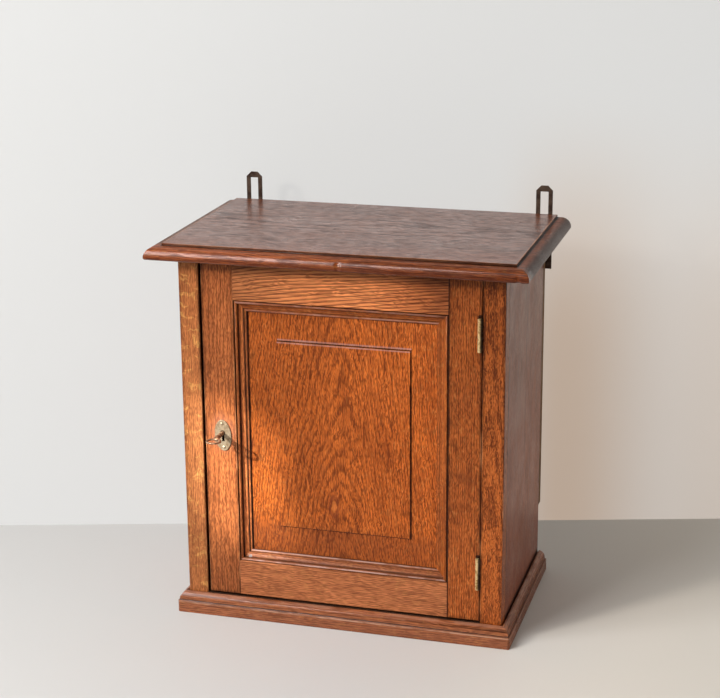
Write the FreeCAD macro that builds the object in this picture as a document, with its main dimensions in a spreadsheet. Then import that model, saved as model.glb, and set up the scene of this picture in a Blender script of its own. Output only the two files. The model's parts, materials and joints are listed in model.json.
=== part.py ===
import FreeCAD, Part
import math
import os

import Sketcher

# A small oak wall cabinet with one panelled door, a key lock and two iron hanging plates.
# +X is to the right, +Y goes back to the wall, +Z is up. The origin is under the middle of the whole.

# Driving sizes in millimetres: a name, a number and what it measures
SIZES = (
    ("case_width", 400, "outside width over the two sides"),
    ("case_height", 477, "floor to the flat of the top board"),
    ("case_depth", 250, "door face to the rear face of the back boards"),
    ("side_thickness", 16, "side boards"),
    ("face_thickness", 20, "face stiles and door frame"),
    ("left_stile_width", 25, "face stile on the lock side"),
    ("right_stile_width", 27, "face stile on the hinge side"),
    ("bottom_thickness", 18, "bottom board"),
    ("top_rail_height", 30, "rails under the top board"),
    ("top_rail_thickness", 19, "rails under the top board"),
    ("stop_clearance", 0.8, "back of the door to the rail that stops it"),
    ("top_thickness", 18, "top board"),
    ("top_overhang", 31.5, "nose of the top board beyond the case"),
    ("top_moulding_width", 17.5, "nose back to the flat of the top board"),
    ("top_step", 3, "drop from the flat to the quarter round"),
    ("top_round_radius", 12, "quarter round of the top board"),
    ("nose_radius", 3, "rounded lower edge of the nose"),
    ("plinth_height", 26, "plinth moulding"),
    ("plinth_projection", 12, "plinth beyond the case"),
    ("plinth_fascia", 15, "plain lower face of the plinth"),
    ("plinth_quirk", 2, "step in above the fascia"),
    ("plinth_riser", 1.5, "upright of that step"),
    ("plinth_fall", 2.5, "crest of the plinth down to the case"),
    ("plinth_fall_width", 2, "crest of the plinth out from the case"),
    ("plinth_round_radius", 10, "round of the plinth"),
    ("back_thickness", 14, "back boards"),
    ("back_rise", 89, "floor to the lower end of the back boards"),
    ("back_tongue", 6, "tongue width beyond a back board"),
    ("tongue_thickness", 5, "tongue of a back board"),
    ("tongue_slack", 0.3, "room round a tongue"),
    ("lower_rail_thickness", 14, "rail behind the lower end of the back"),
    ("back_lap", 14, "how far the back boards lap that rail"),
    ("shelf_thickness", 13, "shelf"),
    ("shelf_rise", 240, "floor to the top of the shelf"),
    ("shelf_setback", 44, "door face to the front of the shelf"),
    ("shelf_slack", 0.5, "room at each end of the shelf"),
    ("cleat_width", 14, "shelf cleat, across"),
    ("cleat_height", 20, "shelf cleat, upright"),
    ("cleat_setback", 10, "front of the shelf to the front of its cleats"),
    ("lock_gap", 3.4, "door to the left face stile"),
    ("hinge_gap", 0.8, "door to the right face stile"),
    ("door_bottom_gap", 2, "door to the bottom rail"),
    ("door_top_gap", 1.5, "door to the top board"),
    ("door_stile_width", 40, "upright members of the door"),
    ("door_top_rail_width", 49, "upper rail of the door"),
    ("door_bottom_rail_width", 44.5, "lower rail of the door"),
    ("tenon_length", 28, "rail tenons"),
    ("tenon_shoulder", 10, "rail edge to its tenon"),
    ("tenon_slack", 0.1, "room round a tenon"),
    ("mortise_spare", 1, "room at the end of a tenon"),
    ("panel_recess", 9, "door face to the panel margin"),
    ("panel_edge", 6, "thickness of the panel margin"),
    ("panel_groove", 8, "depth of the groove round the panel"),
    ("panel_slack", 1.5, "room for the panel to swell in its groove"),
    ("groove_slack", 0.4, "room behind the panel in its groove"),
    ("field_rise", 2, "raised field above the margin"),
    ("field_margin", 34.7, "moulding to the raised field"),
    ("field_shift", 2.2, "raised field right of the middle"),
    ("moulding_width", 14.8, "moulding round the panel"),
    ("moulding_quirk", 1, "quirk between frame and bead"),
    ("moulding_quirk_depth", 2.6, "floor of that quirk below the door face"),
    ("moulding_bead", 3.6, "bead of the moulding"),
    ("bead_depth", 2, "shoulders of the bead below the door face"),
    ("bead_radius", 2, "bead of the moulding"),
    ("cove_start_depth", 4.2, "upper edge of the cove below the door face"),
    ("cove_end_depth", 6.4, "lower edge of the cove below the door face"),
    ("cove_width", 6.9, "cove of the moulding"),
    ("cove_radius", 5.5, "cove of the moulding"),
    ("fillet_depth", 7.4, "last fillet below the door face"),
    ("hinge_length", 40, "butt hinges"),
    ("upper_hinge_drop", 70.9, "door top to the middle of the upper hinge"),
    ("lower_hinge_rise", 61.3, "door bottom to the middle of the lower hinge"),
    ("knuckle_radius", 2.75, "hinge knuckles"),
    ("knuckle_clearance", 0.35, "knuckle to the face stile"),
    ("knuckle_relief", 0.45, "knuckle to the hollow cut in the door"),
    ("knuckle_gap", 0.2, "between two knuckles"),
    ("hinge_offset", 1.2, "hinge pin in front of the door face"),
    ("pin_radius", 1.3, "hinge pins"),
    ("pin_clearance", 0.05, "running fit round a pin"),
    ("leaf_thickness", 1.6, "hinge leaves"),
    ("leaf_gap", 0.2, "between closed leaves"),
    ("leaf_width", 17, "hinge pin to the edge of a leaf"),
    ("leaf_start", 3.1, "hinge pin to the plain part of a leaf"),
    ("leaf_screw_line", 11, "hinge pin to the line of screws"),
    ("leaf_screw_pitch", 13, "between hinge screws"),
    ("mortise_clearance", 0.8, "round a hinge let into the door"),
    ("key_backset", 22.8, "door edge to the key"),
    ("key_rise", 212, "door bottom to the key"),
    ("key_reach", 42.5, "door face to the front of the key"),
    ("bow_width", 19, "key bow, across"),
    ("bow_length", 18, "key bow, along the key"),
    ("bow_ring", 2.8, "ring of the bow"),
    ("bow_thickness", 2.2, "ring of the bow"),
    ("bow_rounding", 0.9, "rounded edges of the bow"),
    ("bow_root", 1, "how far the barrel runs into the bow"),
    ("barrel_radius", 2.4, "key barrel"),
    ("shank_radius", 3.4, "thick end of the shank, at the bow"),
    ("shank_length", 20, "bow to where the shank is as thin as the barrel"),
    ("barrel_bore", 16, "depth of the bore in the barrel"),
    ("bit_radius", 10, "key axis to the tip of the bit"),
    ("bit_thickness", 2.5, "key bit"),
    ("bit_clearance", 0.5, "bit and barrel to the lock"),
    ("ward_width", 1.6, "cut in the bit for a ward"),
    ("ward_depth", 3, "cut in the bit for a ward"),
    ("keyhole_radius", 3.2, "round of the keyhole"),
    ("keyhole_slot", 3.4, "width of the keyhole slot"),
    ("keyhole_drop", 11, "key axis to the foot of the keyhole"),
    ("escutcheon_width", 21.4, "oval keyhole plate"),
    ("escutcheon_height", 39.5, "oval keyhole plate"),
    ("escutcheon_thickness", 1.6, "oval keyhole plate"),
    ("escutcheon_edge", 0.7, "rounded edge of the plate"),
    ("escutcheon_drop", 3.3, "key axis to the middle of the plate"),
    ("escutcheon_tilt", 4.2, "plate leaning to the left, in degrees"),
    ("escutcheon_pin_pitch", 30, "between the two pins"),
    ("escutcheon_pin_radius", 0.8, "pins of the plate"),
    ("escutcheon_pin_length", 9, "pins of the plate"),
    ("pin_head_height", 1.2, "domed heads of those pins"),
    ("pin_head_sphere", 3, "radius that those heads are domed to"),
    ("lock_inset", 1, "door edge to the lock"),
    ("lock_width", 38.6, "lock case"),
    ("lock_height", 32.2, "lock case"),
    ("lock_drop", 12.5, "key axis to the foot of the lock case"),
    ("lock_depth", 10, "door back to the rear of the lock"),
    ("lock_wall", 1.2, "sheet of the lock"),
    ("lock_ear", 8, "plate above and below the lock case"),
    ("lock_screw_inset", 8, "lock screws from the sides of the plate"),
    ("bolt_rise", 6, "key axis to the lower edge of the bolt"),
    ("bolt_height", 9, "bolt"),
    ("bolt_clearance", 0.3, "round the bolt in the lock"),
    ("bolt_setback", 0.4, "end of the drawn bolt inside the door edge"),
    ("talon_left", 5.2, "notch in the bolt left of the key"),
    ("talon_right", 9.6, "notch in the bolt right of the key"),
    ("talon_depth", 4.8, "notch in the bolt"),
    ("bolt_tail", 3, "bolt right of its notch"),
    ("spring_thickness", 0.6, "leaf spring over the bolt"),
    ("spring_length", 22, "leaf spring over the bolt"),
    ("spring_rise", 2.4, "bow of the spring"),
    ("spring_radius", 26, "bow of the spring"),
    ("post_radius", 1.4, "post inside the key barrel"),
    ("post_clearance", 0.2, "post to the bore of the barrel"),
    ("post_length", 13, "post inside the key barrel"),
    ("plate_thickness", 2.5, "hanging plates"),
    ("plate_width", 21, "hanging plates"),
    ("plate_rise", 36, "hanging plates above the top board"),
    ("plate_length", 107, "hanging plates"),
    ("plate_chamfer", 6.2, "upper corners of the hanging plates"),
    ("plate_slot_width", 10.3, "slot of the hanging plates"),
    ("plate_slot_length", 36, "slot of the hanging plates"),
    ("plate_slot_margin", 7.5, "plate top to the slot"),
    ("left_plate_inset", 11.3, "side of the case to the middle of the left plate"),
    ("right_plate_inset", 3.2, "side of the case to the middle of the right plate"),
    ("plate_screw_rise", 12, "plate foot to the lower screw"),
    ("plate_screw_pitch", 24, "between the two screws of a plate"),
    ("screw_slack", 0.05, "hole round a screw or nail"),
    ("hinge_screw_radius", 1.2, "hinge and lock screws"),
    ("hinge_screw_head", 2.3, "hinge and lock screws, head radius"),
    ("hinge_screw_cone", 1.1, "hinge and lock screws, depth of the head"),
    ("hinge_screw_length", 13, "hinge and lock screws"),
    ("wood_screw_radius", 1.7, "wood screws"),
    ("wood_screw_head", 3.3, "wood screws, head radius"),
    ("wood_screw_cone", 1.7, "wood screws, depth of the head"),
    ("plate_screw_length", 30, "screws of the hanging plates"),
    ("top_screw_length", 36, "screws up into the top board"),
    ("top_screw_sink", 6, "heads of those screws inside the rails"),
    ("top_screw_inset", 60, "side boards to those screws"),
    ("cleat_screw_length", 24, "screws of the shelf cleats"),
    ("cleat_screw_inset", 25, "ends of a cleat to its screws"),
    ("slot_width", 0.8, "slot in a screw head"),
    ("slot_depth", 0.7, "slot in a screw head"),
    ("nail_radius", 0.9, "nails of the back boards"),
    ("nail_head", 2.2, "nails of the back boards, head radius"),
    ("nail_cone", 1, "nails of the back boards, depth of the head"),
    ("nail_length", 26, "nails of the back boards"),
    ("nail_inset", 30, "edges of a back board to its nails"),
    ("nail_row", 7, "ends of a back board to its nails"),
)

KNUCKLES = 5
BACK_BOARDS = ("left", "middle", "right")
LEAF_SCREWS = (-1, 0, 1)
# Cutting tools run this far past the faces that they open
OVERCUT = 1.0
# An edge that rises less than this lies flat
FLAT = 1e-6


# A number together with the sheet formula that gives it
class Size:
    def __init__(self, value, text):
        self.value = value
        self.text = text

    def __add__(self, other):
        other = as_size(other)
        return Size(self.value + other.value, f"({self.text} + {other.text})")

    def __radd__(self, other):
        return as_size(other) + self

    def __sub__(self, other):
        other = as_size(other)
        return Size(self.value - other.value, f"({self.text} - {other.text})")

    def __rsub__(self, other):
        return as_size(other) - self

    def __mul__(self, number):
        return Size(self.value * number, f"({self.text} * ({number}))")

    def __rmul__(self, number):
        return self * number

    def __truediv__(self, number):
        return Size(self.value / number, f"({self.text} / {number})")

    def __neg__(self):
        return Size(-self.value, f"(-{self.text})")


def as_size(number):
    if isinstance(number, Size):
        return number
    return Size(number, f"({number})")


class Named:
    pass


def fill_sheet():
    for row, (name, number, meaning) in enumerate(SIZES, start=1):
        sheet.set(f"A{row}", name)
        sheet.set(f"B{row}", str(number))
        sheet.set(f"C{row}", meaning)
        sheet.setAlias(f"B{row}", name)
        setattr(s, name, Size(number, f"dims.{name}"))


def bind(thing, prop, size):
    thing.setExpression(prop, as_size(size).text)


def ordered(first, second):
    return sorted((first, second), key=lambda size: size.value)


# Solids from primitives

# Turns that lay a primitive's own Z along a direction
TURNS = {
    "+x": ((0, 1, 0), 90),
    "-x": ((0, 1, 0), -90),
    "+y": ((1, 0, 0), -90),
    "-y": ((1, 0, 0), 90),
    "+z": ((1, 0, 0), 0),
}


def place(thing, point, direction="+z"):
    axis, degrees = TURNS[direction]
    turn = FreeCAD.Rotation(FreeCAD.Vector(*axis), degrees)
    thing.Placement = FreeCAD.Placement(FreeCAD.Vector(), turn)
    for letter, size in zip("xyz", point):
        bind(thing, f"Placement.Base.{letter}", size)


def box(name, x, y, z):
    thing = doc.addObject("Part::Box", name)
    for prop, (low, high) in zip(("Length", "Width", "Height"), (x, y, z)):
        bind(thing, prop, high - low)
    place(thing, (x[0], y[0], z[0]))
    return thing


def rod(name, start, direction, length, radius):
    thing = doc.addObject("Part::Cylinder", name)
    bind(thing, "Radius", radius)
    bind(thing, "Height", length)
    place(thing, start, direction)
    return thing


def taper(name, start, direction, length, first_radius, last_radius):
    thing = doc.addObject("Part::Cone", name)
    bind(thing, "Radius1", first_radius)
    bind(thing, "Radius2", last_radius)
    bind(thing, "Height", length)
    place(thing, start, direction)
    return thing


def ball(name, centre, radius):
    thing = doc.addObject("Part::Sphere", name)
    bind(thing, "Radius", radius)
    place(thing, centre)
    return thing


def fuse(name, things):
    thing = doc.addObject("Part::MultiFuse", name)
    thing.Shapes = things
    return thing


def gather(name, things):
    thing = doc.addObject("Part::Compound", name)
    thing.Links = things
    return thing


def common(name, first, second):
    thing = doc.addObject("Part::MultiCommon", name)
    thing.Shapes = [first, second]
    return thing


def cut(name, base, tools):
    thing = doc.addObject("Part::Cut", name)
    thing.Base = base
    thing.Tool = gather(f"{name}_tools", tools) if len(tools) > 1 else tools[0]
    return thing


def node(label, thing):
    thing.Label = label
    nodes.append(thing)


# Solids from sketches

def new_sketch(body, name, plane):
    sketch = body.newObject("Sketcher::SketchObject", name)
    support = [f for f in body.Origin.OriginFeatures if f.Role == f"{plane}_Plane"]
    sketch.AttachmentSupport = [(support[0], "")]
    sketch.MapMode = "FlatFace"
    return sketch


def pin_point(sketch, geometry, end, point):
    for kind, size in zip(("DistanceX", "DistanceY"), point):
        index = sketch.addConstraint(Sketcher.Constraint(kind, -1, 1, geometry, end, as_size(size).value))
        bind(sketch, f"Constraints[{index}]", size)


def pin_radius(sketch, geometry, radius):
    index = sketch.addConstraint(Sketcher.Constraint("Radius", geometry, radius.value))
    bind(sketch, f"Constraints[{index}]", radius)


# A closed outline through points. A point with a third value is reached by an arc of that radius,
# which turns left when its fourth value is 1 and right when it is -1.
def draw(sketch, points):
    corners = [FreeCAD.Vector(as_size(p[0]).value, as_size(p[1]).value, 0) for p in points]
    pieces = []
    for i, corner in enumerate(corners):
        after = (i + 1) % len(corners)
        goal = corners[after]
        if len(points[after]) == 2:
            geometry = sketch.addGeometry(Part.LineSegment(corner, goal), False)
            pieces.append((geometry, 1, 2))
            continue
        radius, side = points[after][2:]
        chord = goal - corner
        across = FreeCAD.Vector(-chord.y, chord.x, 0).normalize()
        rise = math.sqrt(radius.value ** 2 - (chord.Length / 2) ** 2)
        centre = (corner + goal) / 2 + across * (side * rise)
        first, last = (corner, goal) if side > 0 else (goal, corner)
        angles = [math.atan2(p.y - centre.y, p.x - centre.x) for p in (first, last)]
        circle = Part.Circle(centre, FreeCAD.Vector(0, 0, 1), radius.value)
        geometry = sketch.addGeometry(Part.ArcOfCircle(circle, *angles), False)
        pieces.append((geometry, 1, 2) if side > 0 else (geometry, 2, 1))
        pin_radius(sketch, geometry, radius)
    for i, (geometry, start, end) in enumerate(pieces):
        follower, follower_start, _ = pieces[(i + 1) % len(pieces)]
        sketch.addConstraint(Sketcher.Constraint("Coincident", geometry, end, follower, follower_start))
    for (geometry, start, _), point in zip(pieces, points):
        pin_point(sketch, geometry, start, point[:2])


# The longer half of an oval lies across, or upright
def draw_oval(sketch, centre, long_half, short_half, upright):
    middle = FreeCAD.Vector(as_size(centre[0]).value, as_size(centre[1]).value, 0)
    across = FreeCAD.Vector(long_half.value, 0, 0)
    up = FreeCAD.Vector(0, short_half.value, 0)
    if upright:
        across = FreeCAD.Vector(0, long_half.value, 0)
        up = FreeCAD.Vector(-short_half.value, 0, 0)
    geometry = sketch.addGeometry(Part.Ellipse(middle + across, middle + up, middle), False)
    sketch.exposeInternalGeometry(geometry)
    pin_point(sketch, geometry, 3, centre)
    sketch.addConstraint(Sketcher.Constraint("Vertical" if upright else "Horizontal", geometry + 1))
    for line, half in ((geometry + 1, long_half), (geometry + 2, short_half)):
        index = sketch.addConstraint(Sketcher.Constraint("Distance", line, 2 * half.value))
        bind(sketch, f"Constraints[{index}]", half * 2)


# A sketch on XZ faces -Y, so its pad runs forward from the rear end
def pad(body, sketch, start, end, plane):
    offset = -end if plane == "XZ" else start
    bind(sketch, "AttachmentOffset.Base.z", offset)
    feature = body.newObject("PartDesign::Pad", f"{sketch.Name}_pad")
    feature.Profile = sketch
    bind(feature, "Length", end - start)
    return feature


def prism(name, plane, outlines, start, end):
    body = doc.addObject("PartDesign::Body", name)
    sketch = new_sketch(body, f"{name}_outline", plane)
    for points in outlines:
        draw(sketch, points)
    pad(body, sketch, start, end, plane)
    return body


def round_edges(body, edges, radius):
    base = body.Tip
    feature = body.newObject("PartDesign::Fillet", f"{body.Name}_rounding")
    feature.Base = (base, edges)
    bind(feature, "Radius", radius)


# Cuts that run right through a body, checked to take wood away
def cut_through(body, plane, outlines):
    doc.recompute()
    before = body.Shape.Volume
    sketch = new_sketch(body, f"{body.Name}_waste", plane)
    for points in outlines:
        draw(sketch, points)
    feature = body.newObject("PartDesign::Pocket", f"{body.Name}_trim")
    feature.Profile = sketch
    feature.Type = "ThroughAll"
    feature.SideType = "Symmetric"
    doc.recompute()
    if body.Shape.Volume >= before:
        raise ValueError(f"{body.Name}: the cut takes nothing away")


# Screws, nails and their holes

# A fastener's head lies at a point and its shank runs along a direction
def along(point, direction, distance):
    moved = list(point)
    letter = "xyz".index(direction[1])
    moved[letter] = moved[letter] + distance if direction[0] == "+" else moved[letter] - distance
    return tuple(moved)


def fastener(name, point, direction, length, radius, head_radius, head_depth, slotted=True):
    head = taper(f"{name}_head", point, direction, head_depth, head_radius, radius)
    shank_start = along(point, direction, head_depth)
    shank = rod(f"{name}_shank", shank_start, direction, length - head_depth, radius)
    whole = fuse(f"{name}_whole", [head, shank])
    if not slotted:
        return whole
    # The slot lies across the head, upright on a wall and front to back under a board
    spans = [(c - head_radius - OVERCUT, c + head_radius + OVERCUT) for c in point]
    narrow = 0 if direction[1] != "x" else 1
    spans[narrow] = (point[narrow] - s.slot_width / 2, point[narrow] + s.slot_width / 2)
    letter = "xyz".index(direction[1])
    floor = along(point, direction, s.slot_depth)[letter]
    above = along(point, direction, as_size(-OVERCUT))[letter]
    spans[letter] = (above, floor) if direction[0] == "+" else (floor, above)
    return cut(name, whole, [box(f"{name}_slot", *spans)])


def fastener_hole(name, point, direction, length, radius, head_radius, head_depth, slotted=True):
    head = taper(
        f"{name}_sink", point, direction, head_depth, head_radius + s.screw_slack, radius + s.screw_slack
    )
    shank = rod(f"{name}_bore", point, direction, length + s.screw_slack, radius + s.screw_slack)
    return fuse(f"{name}_hole", [head, shank])


# Each set is a list of heads, a direction for each, and the sizes of its screws or nails
def fastener_set(label, heads, sizes):
    things = []
    for i, (point, direction) in enumerate(heads):
        things.append(fastener(f"{label}_{i}", point, direction, *sizes))
    node(label, gather(f"{label}_set", things))


def holes(name, heads, sizes):
    things = []
    for i, (point, direction) in enumerate(heads):
        things.append(fastener_hole(f"{name}_{i}", point, direction, *sizes))
    return things


doc = FreeCAD.newDocument("wall_cabinet")
sheet = doc.addObject("Spreadsheet::Sheet", "dims")
s = Named()
fill_sheet()
doc.recompute()
nodes = []

# Planes that several pieces share
half_width = s.case_width / 2
inside = half_width - s.side_thickness
front = (s.key_reach - s.case_depth - s.plate_thickness) / 2
face_back = front + s.face_thickness
back = front + s.case_depth
side_back = back - s.back_thickness
under_top = s.case_height - s.top_thickness
floor_top = s.plinth_height
ground = as_size(0)

opening_left = s.left_stile_width - half_width
opening_right = half_width - s.right_stile_width
door_left = opening_left + s.lock_gap
door_right = opening_right - s.hinge_gap
door_bottom = floor_top + s.door_bottom_gap
door_top = under_top - s.door_top_gap
frame_left = door_left + s.door_stile_width
frame_right = door_right - s.door_stile_width
frame_bottom = door_bottom + s.door_bottom_rail_width
frame_top = door_top - s.door_top_rail_width

panel_face = front + s.panel_recess
groove_back = panel_face + s.panel_edge + s.groove_slack

hinge_x = opening_right - s.knuckle_radius - s.knuckle_clearance
hinge_y = front - s.hinge_offset
frame_leaf_face = opening_right - s.leaf_thickness
door_leaf_face = frame_leaf_face - s.leaf_gap
door_leaf_back = door_leaf_face - s.leaf_thickness
hinge_heights = {
    "upper": door_top - s.upper_hinge_drop,
    "lower": door_bottom + s.lower_hinge_rise,
}

key_x = door_left + s.key_backset
key_z = door_bottom + s.key_rise

lock_left = door_left + s.lock_inset
lock_right = lock_left + s.lock_width
lock_bottom = key_z - s.lock_drop
lock_top = lock_bottom + s.lock_height
lock_face = face_back + s.lock_wall
lock_rear = face_back + s.lock_depth
lock_inner_rear = lock_rear - s.lock_wall

plate_top = s.case_height + s.plate_rise
plate_foot = plate_top - s.plate_length
plate_rear = back + s.plate_thickness
plate_centres = {
    "left": s.left_plate_inset - half_width,
    "right": half_width - s.right_plate_inset,
}

rail_bottom = under_top - s.top_rail_height
front_rail = (face_back + s.stop_clearance, face_back + s.stop_clearance + s.top_rail_thickness)
rear_rail = (side_back - s.top_rail_thickness, side_back)
lower_rail_top = s.back_rise + s.back_lap
shelf_front = front + s.shelf_setback
shelf_under = s.shelf_rise - s.shelf_thickness
cleat_front = shelf_front + s.cleat_setback
cleat_rear = side_back - s.cleat_setback

# Where the screws and nails stand, and their sizes
small_screw = (s.hinge_screw_length, s.hinge_screw_radius, s.hinge_screw_head, s.hinge_screw_cone)
plate_screw = (s.plate_screw_length, s.wood_screw_radius, s.wood_screw_head, s.wood_screw_cone)
top_screw = (s.top_screw_length, s.wood_screw_radius, s.wood_screw_head, s.wood_screw_cone)
cleat_screw = (s.cleat_screw_length, s.wood_screw_radius, s.wood_screw_head, s.wood_screw_cone)
nail = (s.nail_length, s.nail_radius, s.nail_head, s.nail_cone, False)


def leaf_heads(height, face, direction):
    line = hinge_y + s.leaf_screw_line
    return [((face, line, height + s.leaf_screw_pitch * i), direction) for i in LEAF_SCREWS]


def plate_heads(side):
    heights = (plate_foot + s.plate_screw_rise, plate_foot + s.plate_screw_rise + s.plate_screw_pitch)
    return [((plate_centres[side], plate_rear, height), "-y") for height in heights]


def top_heads(rail):
    middle = (rail[0] + rail[1]) / 2
    reach = inside - s.top_screw_inset
    return [((x, middle, rail_bottom + s.top_screw_sink), "+z") for x in (-reach, reach)]


def cleat_heads(side):
    reach = inside - s.cleat_width
    x, direction = (-reach, "-x") if side == "left" else (reach, "+x")
    height = shelf_under - s.cleat_height / 2
    places = (cleat_front + s.cleat_screw_inset, cleat_rear - s.cleat_screw_inset)
    return [((x, y, height), direction) for y in places]


def board_edges(index):
    width = s.case_width / len(BACK_BOARDS)
    return width * index - half_width, width * (index + 1) - half_width


def board_heads(index, rows):
    left, right = board_edges(index)
    return [((x, back, z), "-y") for x in (left + s.nail_inset, right - s.nail_inset) for z in rows]


nail_rows = (s.back_rise + s.nail_row, under_top - s.nail_row)
lock_heads = [
    ((x, lock_face, z), "-y")
    for x in (lock_left + s.lock_screw_inset, lock_right - s.lock_screw_inset)
    for z in (lock_bottom - s.lock_ear / 2, lock_top + s.lock_ear / 2)
]


# Top board: the front profile runs the whole width, and the same profile is cut on both ends
def edge_profile(nose, sign):
    flat = nose - s.top_moulding_width * sign
    return [
        (flat, s.case_height),
        (flat, s.case_height - s.top_step),
        (nose - s.top_round_radius * sign, s.case_height - s.top_step),
        (nose, under_top + s.nose_radius, s.top_round_radius, -sign),
        (nose - s.nose_radius * sign, under_top, s.nose_radius, -sign),
    ]


def make_top_board():
    nose = front - s.top_overhang
    ends = half_width + s.top_overhang
    outline = edge_profile(nose, -1) + [(back, under_top), (back, s.case_height)]
    board = prism("top_board_blank", "YZ", [outline], -ends, ends)
    wastes = []
    for sign in (-1, 1):
        profile = edge_profile(ends * sign, sign)
        outside = (ends + OVERCUT) * sign
        above = s.case_height + OVERCUT
        below = under_top - OVERCUT
        under_nose = ends * sign - s.nose_radius * sign
        corners = [(under_nose, below), (outside, below), (outside, above)]
        wastes.append([(profile[0][0], above), *profile[1:], *corners])
    cut_through(board, "XZ", wastes)
    heads = top_heads(front_rail) + top_heads(rear_rail)
    node("top_board", cut("top_board_drilled", board, holes("top_board", heads, top_screw)))


def make_case():
    for side, sign in (("left", -1), ("right", 1)):
        faces = ordered(inside * sign, half_width * sign)
        blank = box(f"{side}_side_blank", faces, (face_back, side_back), (ground, under_top))
        bores = holes(f"{side}_side_plate", plate_heads(side), plate_screw)
        bores += holes(f"{side}_side_cleat", cleat_heads(side), cleat_screw)
        node(f"{side}_side", cut(f"{side}_side_drilled", blank, bores))

    left_stile = box("left_stile", (-half_width, opening_left), (front, face_back), (ground, under_top))
    node("left_face_stile", left_stile)
    right_stile = box("right_stile", (opening_right, half_width), (front, face_back), (ground, under_top))
    bores = []
    for name, height in hinge_heights.items():
        bores += holes(f"stile_{name}", leaf_heads(height, frame_leaf_face, "+x"), small_screw)
    node("right_face_stile", cut("right_stile_drilled", right_stile, bores))

    across = (-inside, inside)
    low_rail = box("low_rail", (opening_left, opening_right), (front, face_back), (ground, floor_top))
    node("bottom_front_rail", low_rail)
    floor = box("floor", across, (face_back, side_back), (floor_top - s.bottom_thickness, floor_top))
    node("bottom_board", floor)
    for name, rail in (("front", front_rail), ("rear", rear_rail)):
        blank = box(f"top_{name}_blank", across, rail, (rail_bottom, under_top))
        bores = holes(f"top_{name}", top_heads(rail), top_screw)
        for i, (point, direction) in enumerate(top_heads(rail)):
            start = (point[0], point[1], rail_bottom - OVERCUT)
            depth = s.top_screw_sink + OVERCUT
            wide = s.wood_screw_head + s.screw_slack
            bores.append(rod(f"top_{name}_sink_{i}", start, direction, depth, wide))
        if name == "rear":
            for index in range(len(BACK_BOARDS)):
                bores += holes(f"top_rear_nails_{index}", board_heads(index, nail_rows[1:]), nail)
        node(f"top_{name}_rail", cut(f"top_{name}_drilled", blank, bores))

    lower_rail = (side_back - s.lower_rail_thickness, side_back)
    blank = box("lower_rail_blank", across, lower_rail, (floor_top, lower_rail_top))
    bores = []
    for index in range(len(BACK_BOARDS)):
        bores += holes(f"lower_rail_nails_{index}", board_heads(index, nail_rows[:1]), nail)
    node("lower_back_rail", cut("lower_rail_drilled", blank, bores))


# Plinth: a fascia with a small step, a round above it and a crest that falls to the case, mitred
# at the front corners
def plinth_profile(face, sign):
    outer = face + s.plinth_projection * sign
    step = outer - s.plinth_quirk * sign
    return [
        (face, ground),
        (outer, ground),
        (outer, s.plinth_fascia),
        (step, s.plinth_fascia),
        (step, s.plinth_fascia + s.plinth_riser),
        (face + s.plinth_fall_width * sign, s.plinth_height, s.plinth_round_radius, sign),
        (face, s.plinth_height - s.plinth_fall),
    ]


def make_plinth():
    reach = s.plinth_projection + OVERCUT
    outer = half_width + s.plinth_projection
    strip = prism("plinth_front_blank", "YZ", [plinth_profile(front, -1)], -outer, outer)
    corners = []
    for sign in (-1, 1):
        edge = half_width * sign
        far = edge + reach * sign
        near = edge - OVERCUT * sign
        corners.append([(near, front + OVERCUT), (far, front - reach), (far, front + OVERCUT)])
    cut_through(strip, "XY", corners)
    node("plinth_front", strip)
    for side, sign in (("left", -1), ("right", 1)):
        edge = half_width * sign
        profile = plinth_profile(edge, sign)
        strip = prism(f"plinth_{side}_blank", "XZ", [profile], front - s.plinth_projection, side_back)
        far = edge + reach * sign
        near = edge - OVERCUT * sign
        cut_through(strip, "XY", [[(near, front + OVERCUT), (near, front - reach), (far, front - reach)]])
        node(f"plinth_{side}", strip)


# Back boards: tongued together, nailed to the rails and held by the screws of the hanging plates
def make_back():
    height = (s.back_rise, under_top)
    middle = side_back + s.back_thickness / 2
    tongue = (middle - s.tongue_thickness / 2, middle + s.tongue_thickness / 2)
    groove = (tongue[0] - s.tongue_slack, tongue[1] + s.tongue_slack)
    for index, name in enumerate(BACK_BOARDS):
        left, right = board_edges(index)
        board = box(f"back_{name}_blank", (left + s.tongue_slack / 2, right - s.tongue_slack / 2),
                    (side_back, back), height)
        if index < len(BACK_BOARDS) - 1:
            reach = (right - s.back_tongue, right + s.back_tongue)
            edge = box(f"back_{name}_tongue", reach, tongue, height)
            board = fuse(f"back_{name}_tongued", [board, edge])
        tools = holes(f"back_{name}_nails", board_heads(index, nail_rows), nail)
        if index > 0:
            depth = left + s.back_tongue + s.tongue_slack
            tall = (height[0] - OVERCUT, height[1] + OVERCUT)
            tools.append(box(f"back_{name}_groove", (left - OVERCUT, depth), groove, tall))
        if name in plate_centres:
            tools += holes(f"back_{name}_screws", plate_heads(name), plate_screw)
        node(f"back_board_{name}", cut(f"back_{name}_cut", board, tools))


def make_shelf():
    board = box("shelf_board", (s.shelf_slack - inside, inside - s.shelf_slack),
                (shelf_front, side_back), (shelf_under, s.shelf_rise))
    node("shelf", board)
    for side, sign in (("left", -1), ("right", 1)):
        inner = inside - s.cleat_width
        faces = ordered(inner * sign, inside * sign)
        height = (shelf_under - s.cleat_height, shelf_under)
        blank = box(f"cleat_{side}_blank", faces, (cleat_front, cleat_rear), height)
        bores = holes(f"cleat_{side}", cleat_heads(side), cleat_screw)
        node(f"shelf_cleat_{side}", cut(f"cleat_{side}_drilled", blank, bores))


# Door frame: rails with tenons in the stiles, and a groove round the inside for the panel
def tenon_spans(name):
    if name == "top":
        return frame_top + s.tenon_shoulder, door_top - s.tenon_shoulder
    return door_bottom + s.tenon_shoulder, frame_bottom - s.tenon_shoulder


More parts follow.
